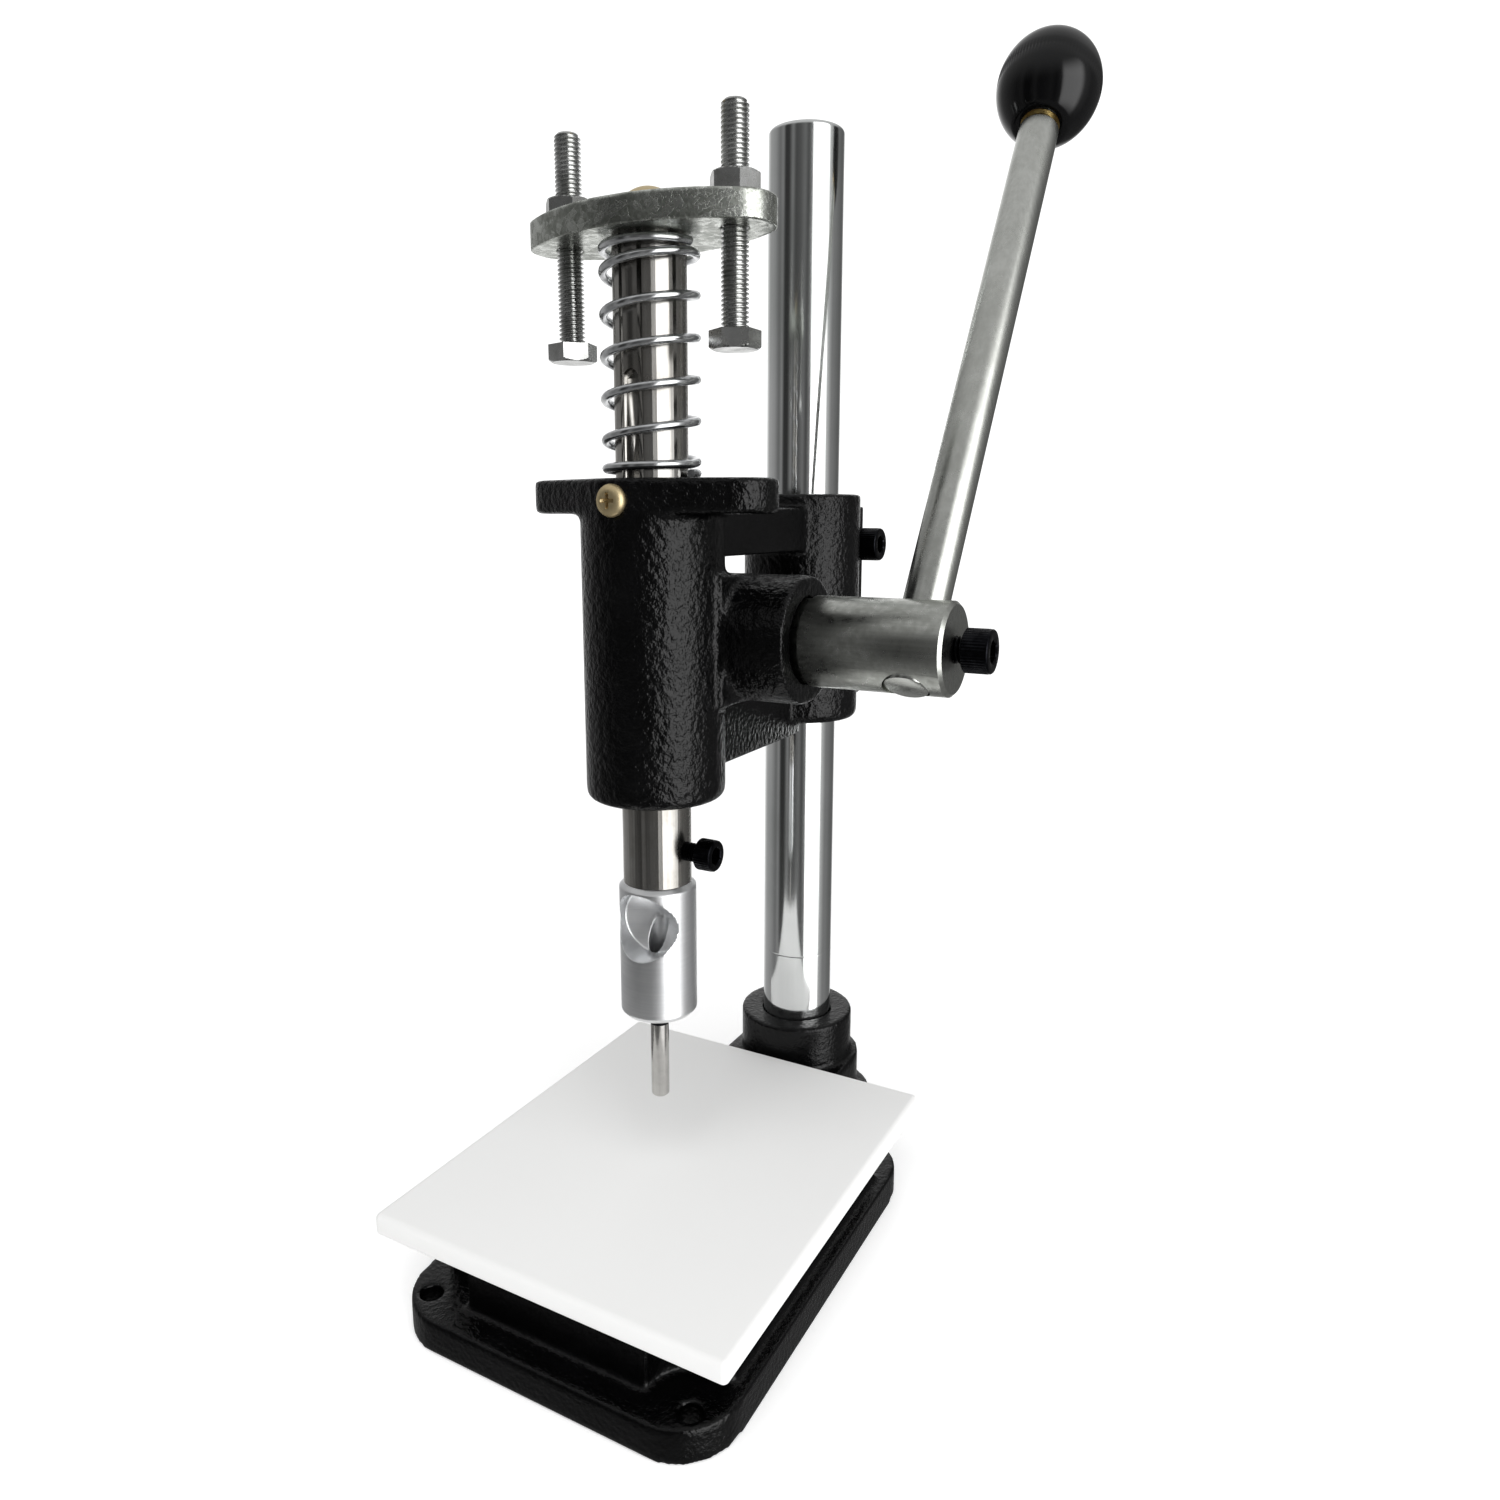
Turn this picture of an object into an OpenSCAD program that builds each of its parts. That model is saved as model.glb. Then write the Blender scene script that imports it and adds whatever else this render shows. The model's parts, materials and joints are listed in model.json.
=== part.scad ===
// Manual bench hand press: a rack-and-pinion ram in a cast head, clamped on a round column.
// Origin: centre of the four bench bolt holes, on the underside of the base.
// +Z is up, -Y is the operator's side and +X is the handle's side.

/* [Base] */
// Width of the base flange
base_w = 117; // [105:1:140]
// Length of the base flange
base_l = 158; // [150:1:185]
// Thickness of the base flange
flange_t = 11; // [8:0.5:15]
// Corner radius of the base flange
base_corner_r = 20; // [14:1:24]
// Height of the pedestal above the flange
pedestal_h = 19.6; // [15:0.2:30]
// How far the pedestal's sides stand in from the flange's edge
pedestal_side_inset = 5; // [3:0.5:8]
// How far the pedestal's ends stand in from the flange's edge
pedestal_end_inset = 10; // [6:0.5:14]
// Spacing of the bench bolt holes across the base
bench_hole_x = 96; // [80:1:100]
// Spacing of the bench bolt holes along the base
bench_hole_y = 138; // [120:1:142]
// Diameter of the bench bolt holes
bench_hole_d = 7; // [5:0.5:9]
// Radius of the pedestal's scooped corners round the bench bolts
scoop_r = 15; // [12:0.5:18]
// Wall of the casting over the hollow underside
base_wall = 6; // [4:0.5:8]

/* [Column] */
// Diameter of the column
column_d = 28; // [24:1:32]
// Height of the column's top above the bench
column_top_z = 392; // [370:1:430]
// Distance of the column's axis behind the centre of the bench bolts
column_y = 99; // [97:1:108]
// Diameter of the column boss on the base
boss_d = 46; // [40:1:52]
// Height of the column boss above the pedestal
boss_h = 18.4; // [14:0.2:24]
// Thickness of metal left under the column
boss_floor = 12; // [8:1:16]

/* [Board] */
// Width of the cutting board
board_w = 127; // [110:1:140]
// Length of the cutting board
board_l = 150; // [130:1:160]
// Thickness of the cutting board
board_t = 7.5; // [5:0.5:12]
// Gap between the board and the column boss
board_gap = 2.7; // [1:0.1:6]

/* [Head] */
// Distance from the column's axis to the ram's axis
throat = 107; // [98:1:114]
// Height of the pinion's axis above the bench
pinion_z = 216; // [210:1:240]
// Outer diameter of the ram sleeve
ram_sleeve_d = 44; // [40:1:50]
// Outer diameter of the column sleeve
column_sleeve_d = 45; // [42:1:52]
// Height of the ram sleeve's top flange over the pinion's axis
flange_above = 48.5; // [42:0.5:60]
// Depth of the ram sleeve's end below the pinion's axis
sleeve_below = 50; // [44:1:54]
// Thickness of the top flange and its ears
ear_t = 10.3; // [8:0.1:14]
// Half the length of the top flange, over the ears
ear_half = 41.5; // [38:0.5:46]
// Radius of the ears' ends
ear_r = 12; // [9:0.5:14]
// Outer diameter of the pinion boss
pinion_boss_d = 40; // [34:1:44]
// Where the pinion boss ends on the handle's side
boss_right = 44; // [38:1:50]
// Where the pinion boss ends on the other side
boss_left = 24; // [20:1:30]

/* [Ram and rack] */
// Diameter of the ram
ram_d = 22; // [20:1:24]
// Stroke of the ram from its rest to the board, with the tool fitted
stroke = 24; // [18:1:30]
// Distance from the ram's axis to the pinion's axis
mesh_distance = 19.5; // [19.4:0.05:19.7]
// Tooth module of rack and pinion
tooth_module = 2; // [2:1:2]
// Number of teeth on the pinion
pinion_teeth = 11; // [11:1:11]
// Length of ram that stands out under the ram sleeve
ram_below = 28; // [20:1:40]
// Length of ram between the flange and the stop plate
ram_above = 67.9; // [60:0.1:80]

/* [Stop plate and spring] */
// Thickness of the stop plate
stop_plate_t = 8; // [6:0.5:12]
// Distance of each stop bolt from the ram's axis
stop_bolt_x = 28.5; // [27:0.5:30]
// Thread diameter of the stop bolts
stop_bolt_d = 8; // [6:1:8]
// Length of a stop bolt under its head
stop_bolt_l = 60; // [55:1:70]
// Gap between a stop bolt's head and the ear under it
stop_gap = 35.5; // [28:0.5:38]
// Wire diameter of the return spring
spring_wire = 2.6; // [1.8:0.1:2.7]
// Radial gap between the ram and the return spring round it
spring_play = 1.4; // [1:0.1:1.8]
// Number of open turns in the return spring
spring_turns = 5; // [4:1:7]

/* [Handle] */
// Diameter of the hub on the pinion shaft
hub_d = 28; // [27:0.5:32]
// Length of the hub
hub_l = 45; // [38:1:55]
// Distance of the handle rod from the hub's outer end
rod_inset = 12; // [11:0.5:16]
// Diameter of the handle rod
rod_d = 14; // [10:1:15]
// Distance from the hub's axis to the centre of the knob
handle_l = 228; // [180:1:250]
// Lean of the handle behind the vertical at rest
handle_lean = 33.7; // [20:0.1:40]
// Diameter of the knob
knob_d = 37; // [32:1:42]

/* [Tool] */
// Diameter of the punch holder
holder_d = 25; // [25:0.5:32]
// Length of the punch holder's body
holder_l = 45; // [38:1:50]
// Diameter of the shank in the ram
shank_d = 12; // [8:0.5:12]
// Length of the shank in the ram
shank_l = 25; // [22:1:28]
// Diameter of the hollow punch
punch_d = 6; // [5:0.5:8]
// Length of the punch below its holder
punch_out = 30.5; // [28:0.5:33]

/* [Clearances] */
// Radial clearance of turning and sliding fits
running = 0.05; // [0.02:0.01:0.1]
// Clearance between faces that pass each other
face_gap = 0.3; // [0.1:0.05:0.5]

/* [Hidden] */
$fn = 64;
eps = 0.01;

// Socket head cap screws: [thread radius, head radius, head height, hexagon across flats]
M8_CAP = [4, 6.5, 8, 6];
M6_CAP = [3, 5, 6, 5];
// Hexagon bolt and nut for the stop bolts, across flats and thickness
hex_af = stop_bolt_d * 1.625;
hex_head_t = stop_bolt_d * 0.66;
hex_nut_t = stop_bolt_d * 0.81;

// Base
pedestal_top = flange_t + pedestal_h;
pedestal_lobe_r = boss_d / 2 + 3;
flange_lobe_r = boss_d / 2 + 9;
boss_top = pedestal_top + boss_h;
column_r = column_d / 2;
board_back = column_y - boss_d / 2 - board_gap;
board_mid_y = board_back - board_l / 2;
board_corner_r = 2;
board_screw_r = 2;
board_screw_head_r = 3.8;
cavity_x = base_w / 2 - pedestal_side_inset - base_wall;
cavity_y = bench_hole_y / 2 - scoop_r - base_wall;
cavity_top = pedestal_top - base_wall;
board_screw_x = cavity_x - 2 * board_screw_head_r;
board_screw_y = cavity_y - 2 * board_screw_head_r;
grub_r = 4;
grub_z = boss_top - 9;

// Head
ram_y = column_y - throat;
ram_r = ram_d / 2;
flange_top = pinion_z + flange_above;
sleeve_bottom = pinion_z - sleeve_below;
ear_c = ear_half - ear_r;
column_sleeve_top = flange_top - 3;
column_sleeve_bottom = sleeve_bottom + 8.5;
upper_web_top = flange_top - 8;
upper_web_bottom = pinion_z + pinion_boss_d / 2 + 4.5;
lower_web_bottom = sleeve_bottom + 3.5;
upper_web_half = 11;
lower_web_half = 6;
cast_round = 3;
slot_half = 2;
lug_half = 12;
lug_out = column_sleeve_d / 2 + 11.5;
clamp_y = column_sleeve_d / 2 + 4.5;
clamp_z_upper = column_sleeve_top - 19.5;
clamp_z_lower = column_sleeve_bottom + 19.5;
clamp_standoff = 2.5;

// Rack and pinion
pinion_y = ram_y + mesh_distance;
pinion_pitch_r = tooth_module * pinion_teeth / 2;
pinion_tip_r = pinion_pitch_r + tooth_module;
rack_addendum = 0.6 * tooth_module;
tooth_clearance = 0.4;
pinion_root_r = pinion_pitch_r - rack_addendum - tooth_clearance;
rack_pitch_y = mesh_distance - pinion_pitch_r;
rack_tip_y = rack_pitch_y + rack_addendum;
rack_root_y = rack_pitch_y - tooth_module - tooth_clearance;
tooth_pitch = PI * tooth_module;
tooth_w = tooth_pitch / 2 - 0.2;
pressure_angle = 20;
rack_gaps_below = 2;
rack_gaps_above = ceil((stroke + 11) / tooth_pitch) + 2;
pinion_half = ram_r + 1;
journal_r = 8;
journal_end = boss_left + 0.4;
washer_t = 1.6;

// Ram ends
ram_bottom = sleeve_bottom - ram_below;
ram_shoulder = flange_top + ram_above;
spigot_r = 6;
stop_top = ram_shoulder + stop_plate_t;
top_screw_r = 3;
top_screw_head_r = 8.5;
top_screw_head_h = 6.9;
top_screw_dome_r = 10.2;
guide_screw_r = 2.5;
guide_z = flange_top - 6.5;
guide_slot_depth = 2.2;
guide_seat = ram_sleeve_d / 2 - 0.8;
socket_r = shank_d / 2 + running;
tool_screw_z = ram_bottom + 11;
tool_screw_standoff = 5;

// Stop bolts
bolt_r = stop_bolt_d / 2;
bolt_seat = flange_top + stop_gap + hex_head_t;

// Handle
hub_left = boss_right + 1;
hub_right = hub_left + hub_l;
rod_x = hub_right - rod_inset;
rod_r = rod_d / 2;
rod_tail = hub_d / 2 - 0.7;
knob_spigot_r = rod_r - 2;
knob_below = knob_d * 0.6;
knob_above = knob_d * 0.56;
knob_neck_r = rod_r + 2.5;
spigot_l = 19;
insert_wall = 1.8;
hub_screw_standoff = 3;

// Tool
holder_top = ram_bottom - running;
holder_bottom = holder_top - holder_l;
holder_r = holder_d / 2;
window_r = holder_r - 1.5;
window_z = holder_bottom + 0.71 * holder_l;
window_setback = 3;
window_point = 6.6;
punch_r = punch_d / 2;
punch_bore_r = punch_r * 0.6;
punch_in = 14;
punch_edge_h = 1.2;
collar_r = punch_r + 1.15;
collar_seat = 1;
collar_out = 4.8;
punch_tip = holder_bottom - punch_out;
shank_flat = shank_d / 2 - 0.6;

// A plate of the given size with rounded corners, centred on the origin
module rounded_plate(w, l, r, h) {
    linear_extrude(h) {
        square([w - 2 * r, l], center = true);
        square([w, l - 2 * r], center = true);
        for (sx = [-1, 1], sy = [-1, 1])
            translate([sx * (w / 2 - r), sy * (l / 2 - r)]) circle(r);
    }
}

// A cylinder along +Z whose lower edge is rounded
module rounded_foot(r, h, round_r) {
    translate([0, 0, round_r]) cylinder(r = r, h = h - round_r);
    cylinder(r = r - round_r, h = h);
    translate([0, 0, round_r]) rotate_extrude() translate([r - round_r, 0]) circle(round_r);
}

// A cylinder along +Z with a chamfer of size c at its top
module chamfered(r, h, c) {
    cylinder(r = r, h = h - c);
    translate([0, 0, h - c]) cylinder(r1 = r, r2 = r - c, h = c);
}

// Puts its children's +Z along +X, starting at x, at the given height and depth
module facing_right(x, y, z) {
    translate([x, y, z]) rotate([0, 90, 0]) children();
}

// A regular hexagon prism, given across its flats
module hexagon(af, h) {
    cylinder(r = af / sqrt(3), h = h, $fn = 6);
}

// A socket head cap screw: thread below z = 0, head above
module cap_screw(size, length) {
    translate([0, 0, -length]) cylinder(r = size[0], h = length + eps);
    difference() {
        chamfered(size[1], size[2], 0.6);
        translate([0, 0, size[2] / 2]) hexagon(size[3], size[2]);
    }
}

// Outline of a plate with two round ends joined by long arcs that bulge to mid_r at the middle
module lens(mid_r, end_r, end_x) {
    arc_r = (end_x * end_x + mid_r * mid_r - end_r * end_r) / (2 * (mid_r - end_r));
    touch_x = end_x * arc_r / (arc_r - end_r);
    intersection() {
        translate([0, mid_r - arc_r]) circle(arc_r);
        translate([0, arc_r - mid_r]) circle(arc_r);
        square([2 * touch_x, 2 * mid_r], center = true);
    }
    for (s = [-1, 1]) translate([s * end_x, 0]) circle(end_r);
}

// Outline of a flange with a round middle and two round ends joined by tangents
module lozenge(mid_r, end_r, end_x) {
    a = acos((mid_r - end_r) / end_x);
    circle(mid_r);
    for (s = [-1, 1]) translate([s * end_x, 0]) circle(end_r);
    polygon([
        for (s = [-1, 1]) each [
            [s * mid_r * cos(a), -s * mid_r * sin(a)],
            [s * (end_x + end_r * cos(a)), -s * end_r * sin(a)],
            [s * (end_x + end_r * cos(a)), s * end_r * sin(a)],
            [s * mid_r * cos(a), s * mid_r * sin(a)]
        ]
    ]);
}

// ---------- base ----------

module pedestal() {
    difference() {
        translate([0, 0, flange_t - eps])
            rounded_plate(base_w - 2 * pedestal_side_inset, base_l - 2 * pedestal_end_inset, 2, pedestal_h + eps);
        for (sx = [-1, 1], sy = [-1, 1])
            translate([sx * bench_hole_x / 2, sy * bench_hole_y / 2, flange_t]) cylinder(r = scoop_r, h = pedestal_h + 1);
    }
}

module column_lobe(r, h) {
    translate([0, column_y, 0]) cylinder(r = r, h = h);
    translate([-r, base_l / 2 - base_corner_r - scoop_r, 0]) cube([2 * r, column_y - base_l / 2 + base_corner_r + scoop_r, h]);
}

module base_casting() color([0.05, 0.05, 0.055]) difference() {
    union() {
        rounded_plate(base_w, base_l, base_corner_r, flange_t);
        pedestal();
        column_lobe(flange_lobe_r, flange_t);
        column_lobe(pedestal_lobe_r, pedestal_top);
        translate([0, column_y, 0]) cylinder(r = boss_d / 2, h = boss_top);
    }
    translate([0, column_y, boss_floor]) cylinder(r = column_r + running, h = boss_top);
    translate([-cavity_x, -cavity_y, -1]) cube([2 * cavity_x, 2 * cavity_y, cavity_top + 1]);
    for (sx = [-1, 1], sy = [-1, 1]) {
        translate([sx * bench_hole_x / 2, sy * bench_hole_y / 2, -1]) cylinder(d = bench_hole_d, h = flange_t + 2);
        translate([sx * board_screw_x, sy * board_screw_y, cavity_top - 1])
            cylinder(r = board_screw_r + running, h = base_wall + 2);
    }
    translate([0, column_y + column_r - 1, grub_z]) rotate([-90, 0, 0])
        cylinder(r = grub_r + running, h = boss_d);
}

module column_grub_screw() color([0.09, 0.09, 0.1]) {
    length = boss_d / 2 - column_r - face_gap;
    translate([0, column_y + column_r + face_gap, grub_z]) rotate([-90, 0, 0]) difference() {
        cylinder(r = grub_r, h = length);
        translate([0, 0, length - 3]) hexagon(4, 4);
    }
}

module cutting_board() color([0.93, 0.93, 0.92]) difference() {
    translate([0, board_mid_y, pedestal_top]) rounded_plate(board_w, board_l, board_corner_r, board_t);
    for (sx = [-1, 1], sy = [-1, 1])
        translate([sx * board_screw_x, sy * board_screw_y, pedestal_top - 1])
            cylinder(r = board_screw_r + running, h = board_t - 0.5);
}

module board_screws() color([0.7, 0.7, 0.68])
    for (sx = [-1, 1], sy = [-1, 1])
        translate([sx * board_screw_x, sy * board_screw_y, cavity_top]) {
            cylinder(r = board_screw_r, h = base_wall + board_t - 2);
            translate([0, 0, -2.5]) difference() {
                cylinder(r = board_screw_head_r, h = 2.5);
                translate([-3, -0.5, -1]) cube([6, 1, 2]);
                translate([-0.5, -3, -1]) cube([1, 6, 2]);
            }
        }

// ---------- column ----------

module column() color([0.78, 0.79, 0.8])
    translate([0, column_y, boss_floor]) chamfered(column_r, column_top_z - boss_floor, 1.5);

// ---------- head ----------

module head_solid() {
    translate([0, ram_y, sleeve_bottom])
        rounded_foot(ram_sleeve_d / 2, flange_top - sleeve_bottom, cast_round);
    translate([0, ram_y, flange_top - ear_t]) linear_extrude(ear_t)
        lozenge(ram_sleeve_d / 2, ear_r, ear_c);
    translate([0, column_y, column_sleeve_bottom])
        rounded_foot(column_sleeve_d / 2, column_sleeve_top - column_sleeve_bottom, cast_round);
    translate([-upper_web_half, ram_y, upper_web_bottom])
        cube([2 * upper_web_half, throat, upper_web_top - upper_web_bottom]);
    translate([-lower_web_half, ram_y, lower_web_bottom])
        cube([2 * lower_web_half, throat, pinion_z - lower_web_bottom]);
    facing_right(-boss_left, pinion_y, pinion_z) cylinder(d = pinion_boss_d, h = boss_left + boss_right);
    translate([-boss_left, ram_y, pinion_z - pinion_boss_d / 2])
        cube([2 * boss_left, pinion_y - ram_y, pinion_boss_d]);
    translate([-lug_half, column_y, column_sleeve_bottom + 5])
        cube([2 * lug_half, lug_out, column_sleeve_top - column_sleeve_bottom - 9.5]);
}

module head_casting() color([0.05, 0.05, 0.055]) difference() {
    head_solid();
    translate([0, ram_y, sleeve_bottom - 1]) cylinder(r = ram_r + running, h = flange_top - sleeve_bottom + 2);
    translate([0, column_y, lower_web_bottom - 1])
        cylinder(r = column_r + running, h = column_sleeve_top - lower_web_bottom + 2);
    translate([-slot_half, column_y, column_sleeve_bottom - 1])
        cube([2 * slot_half, lug_out + 1, column_sleeve_top - column_sleeve_bottom + 2]);
    facing_right(-pinion_half - 1, pinion_y, pinion_z) cylinder(r = pinion_tip_r + running, h = boss_right + pinion_half + 2);
    facing_right(-boss_left - 1, pinion_y, pinion_z) cylinder(r = journal_r + running, h = boss_left);
    for (z = [clamp_z_upper, clamp_z_lower])
        facing_right(-lug_half - 1, column_y + clamp_y, z) cylinder(r = M8_CAP[0] + running, h = 2 * lug_half + 2);
    translate([0, ram_y, guide_z]) rotate([90, 0, 0]) {
        cylinder(r = guide_screw_r + running, h = ram_sleeve_d);
        translate([0, 0, guide_seat]) cylinder(r = 5.2, h = 5);
    }
}

module head_clamp_screw(z) color([0.08, 0.08, 0.09])
    facing_right(lug_half + clamp_standoff, column_y + clamp_y, z)
        cap_screw(M8_CAP, 2 * lug_half + clamp_standoff - 1);

module ram_guide_screw() color([0.72, 0.6, 0.36])
    translate([0, ram_y - guide_seat, guide_z]) rotate([90, 0, 0]) {
        shank = guide_seat - (ram_r - guide_slot_depth) - face_gap;
        translate([0, 0, -shank]) cylinder(r = guide_screw_r, h = shank + eps);
        difference() {
            union() {
                cylinder(r = 4.8, h = 1.6);
                translate([0, 0, 1.6]) cylinder(r1 = 4.8, r2 = 3.4, h = 1.4);
            }
            for (a = [0, 90]) rotate([0, 0, a]) translate([-2.4, -0.5, 1.4]) cube([4.8, 1, 2]);
        }
    }

// ---------- ram ----------

// One gap of the rack, drawn in the plane of height and depth, centred on the pitch line
module rack_gap() {
    half = (tooth_pitch - tooth_w) / 2;
    top = ram_r + 1 - rack_pitch_y;
    bottom = rack_pitch_y - rack_root_y;
    polygon([
        [-bottom, -half + bottom * tan(pressure_angle)],
        [top, -half - top * tan(pressure_angle)],
        [top, half + top * tan(pressure_angle)],
        [-bottom, half - bottom * tan(pressure_angle)]
    ]);
}

module rack_cut() {
    low = pinion_z - (rack_gaps_below + 0.5) * tooth_pitch;
    high = pinion_z + (rack_gaps_above + 0.5) * tooth_pitch;
    translate([-ram_r - 1, rack_tip_y, low]) cube([ram_d + 2, ram_r, high - low]);
    for (k = [-rack_gaps_below : rack_gaps_above])
        translate([-ram_r - 1, rack_pitch_y, pinion_z + k * tooth_pitch])
            rotate([90, 0, 90]) linear_extrude(ram_d + 2) rack_gap();
}

module ram() color([0.5, 0.49, 0.47]) translate([0, ram_y, 0]) difference() {
    union() {
        translate([0, 0, ram_bottom]) cylinder(r = ram_r, h = ram_shoulder - ram_bottom);
        translate([0, 0, ram_shoulder - eps]) cylinder(r = spigot_r, h = stop_plate_t);
    }
    rack_cut();
    translate([0, 0, ram_bottom - 1]) cylinder(r = socket_r, h = shank_l + 2);
    translate([0, 0, tool_screw_z]) rotate([0, 90, 0]) cylinder(r = M6_CAP[0] + running, h = ram_r + 1);
    translate([-guide_screw_r - running, -ram_r - 1, guide_z]) cube([2 * (guide_screw_r + running), guide_slot_depth + 1, stroke + 11]);
    for (z = [guide_z, guide_z + stroke + 11])
        translate([0, -ram_r - 1, z]) rotate([-90, 0, 0]) cylinder(r = guide_screw_r + running, h = guide_slot_depth + 1);
    translate([0, 0, stop_top - 20]) cylinder(r = top_screw_r + running, h = 21);
}

module ram_top_screw() color([0.66, 0.56, 0.38]) translate([0, ram_y, stop_top]) {
    translate([0, 0, -19]) cylinder(r = top_screw_r, h = 19 + eps);
    difference() {
        intersection() {
            cylinder(r = top_screw_head_r, h = top_screw_head_h);
            translate([0, 0, top_screw_head_h - top_screw_dome_r]) sphere(top_screw_dome_r);
        }
        translate([0, 0, top_screw_head_h - 3.5]) hexagon(5, 4);
    }
}

// ---------- spring ----------

// The spring's wire follows a helix with a closed turn at each end
SPRING_STEPS = 20;
SPRING_SIDES = 6;
spring_rings = (spring_turns + 2) * SPRING_STEPS;
spring_low = flange_top + spring_wire / 2 + running;
spring_high = ram_shoulder - spring_wire / 2 - running;
spring_mean_r = ram_r + spring_play + spring_wire / 2;

// Height of the wire's centre after a number of turns
function spring_z(turn) =
    let(closed = spring_wire * 1.03,
        rise = (spring_high - spring_low - 2 * closed) / spring_turns)
    turn < 1 ? spring_low + closed * turn
    : turn > spring_turns + 1 ? spring_high - closed * (spring_turns + 2 - turn)
    : spring_low + closed + rise * (turn - 1);

function spring_point(ring, side) =
    let(turn = ring / SPRING_STEPS, a = 360 * turn, b = 360 * side / SPRING_SIDES,
        r = spring_mean_r + spring_wire / 2 * cos(b))
    [r * cos(a), r * sin(a), spring_z(turn) + spring_wire / 2 * sin(b)];

module return_spring() color([0.75, 0.76, 0.77]) translate([0, ram_y, 0])
    polyhedron(
        points = [for (i = [0 : spring_rings], j = [0 : SPRING_SIDES - 1]) spring_point(i, j)],
        faces = concat(
            [for (i = [0 : spring_rings - 1], j = [0 : SPRING_SIDES - 1])
                let(n = (j + 1) % SPRING_SIDES, a = i * SPRING_SIDES, b = a + SPRING_SIDES)
                [a + j, a + n, b + n, b + j]],
            [[for (j = [SPRING_SIDES - 1 : -1 : 0]) j]],
            [[for (j = [0 : SPRING_SIDES - 1]) spring_rings * SPRING_SIDES + j]]));

// ---------- stop plate ----------

module stop_plate() color([0.6, 0.62, 0.6]) difference() {
    translate([0, ram_y, ram_shoulder]) linear_extrude(stop_plate_t)
        lens(ram_sleeve_d / 2 - 2, ear_r - 1, ear_c);
    translate([0, ram_y, ram_shoulder - 1]) cylinder(r = spigot_r + running, h = stop_plate_t + 2);
    for (s = [-1, 1])
        translate([s * stop_bolt_x, ram_y, ram_shoulder - 1]) cylinder(r = bolt_r + running, h = stop_plate_t + 2);
}

module stop_bolt(side) color([0.74, 0.75, 0.76]) translate([side * stop_bolt_x, ram_y, bolt_seat]) {
    chamfered(bolt_r, stop_bolt_l, 1);
    translate([0, 0, -hex_head_t]) intersection() {
        hexagon(hex_af, hex_head_t + eps);
        union() {
            cylinder(r1 = hex_af / 2 * 0.98, r2 = hex_af / 2 * 1.2, h = 1.4);
            translate([0, 0, 1.4]) cylinder(r = hex_af, h = hex_head_t);
        }
    }
}

module lock_nut(side) color([0.7, 0.71, 0.71]) translate([side * stop_bolt_x, ram_y, stop_top]) difference() {
    hexagon(hex_af, hex_nut_t);
    translate([0, 0, -1]) cylinder(r = bolt_r + running, h = hex_nut_t + 2);
}

// ---------- pinion and handle ----------

function involute(angle) = tan(angle) * 180 / PI - angle;

// Half the angle that a tooth spans at radius r
function tooth_half_angle(r) =
    let(base_r = pinion_pitch_r * cos(pressure_angle))
    tooth_w / (2 * pinion_pitch_r) * 180 / PI + involute(pressure_angle)
        - (r > base_r ? involute(acos(base_r / r)) : 0);

module pinion_profile() {
    steps = 5;
    radii = [for (i = [0 : steps]) pinion_root_r + (pinion_tip_r - pinion_root_r) * i / steps];
    circle(pinion_root_r + 0.05);
    for (k = [0 : pinion_teeth - 1]) rotate(k * 360 / pinion_teeth)
        polygon([
            [0, 0],
            for (r = radii) [r * cos(-tooth_half_angle(r)), r * sin(-tooth_half_angle(r))],
            for (i = [steps : -1 : 0])
                let(r = radii[i]) [r * cos(tooth_half_angle(r)), r * sin(tooth_half_angle(r))]
        ]);
}

module pinion_shaft() color([0.62, 0.64, 0.62]) translate([0, pinion_y, pinion_z]) difference() {
    union() {
        // One tooth points at the rack, along -Y
        translate([-pinion_half, 0, 0]) rotate([0, 90, 0]) rotate([0, 0, -90])
            linear_extrude(2 * pinion_half) pinion_profile();
        facing_right(pinion_half - eps, 0, 0) cylinder(r = pinion_tip_r, h = hub_left - pinion_half + 1);
        facing_right(-journal_end, 0, 0) cylinder(r = journal_r, h = journal_end - pinion_half + 1);
        facing_right(hub_right, 0, 0) mirror([0, 0, 1]) {
            translate([0, 0, hub_l - 1.5]) cylinder(r1 = hub_d / 2, r2 = hub_d / 2 - 1.5, h = 1.5);
            translate([0, 0, 1]) cylinder(d = hub_d, h = hub_l - 2.5);
            cylinder(r1 = hub_d / 2 - 1, r2 = hub_d / 2, h = 1);
        }
    }
    translate([rod_x, 0, 0]) rotate([-handle_lean, 0, 0]) cylinder(r = rod_r + running, h = hub_d * 2, center = true);
    facing_right(rod_x, 0, 0) cylinder(r = M8_CAP[0] + running, h = rod_inset + 1);
    facing_right(-journal_end - 1, 0, 0) cylinder(r = top_screw_r + running, h = 14);
}

module pinion_washer() color([0.7, 0.71, 0.7]) facing_right(-journal_end - washer_t, pinion_y, pinion_z) difference() {
    cylinder(r = 11, h = washer_t);
    translate([0, 0, -1]) cylinder(r = top_screw_r + running, h = washer_t + 2);
}

module pinion_end_screw() color([0.7, 0.71, 0.7])
    translate([-journal_end - washer_t, pinion_y, pinion_z]) rotate([0, -90, 0]) {
        translate([0, 0, -12]) cylinder(r = top_screw_r, h = 12 + eps);
        hexagon(10, 4);
    }

// Moves its children into the handle's frame: origin on the hub's axis, +Z along the rod
module on_handle() {
    translate([rod_x, pinion_y, pinion_z]) rotate([-handle_lean, 0, 0]) children();
}

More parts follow.
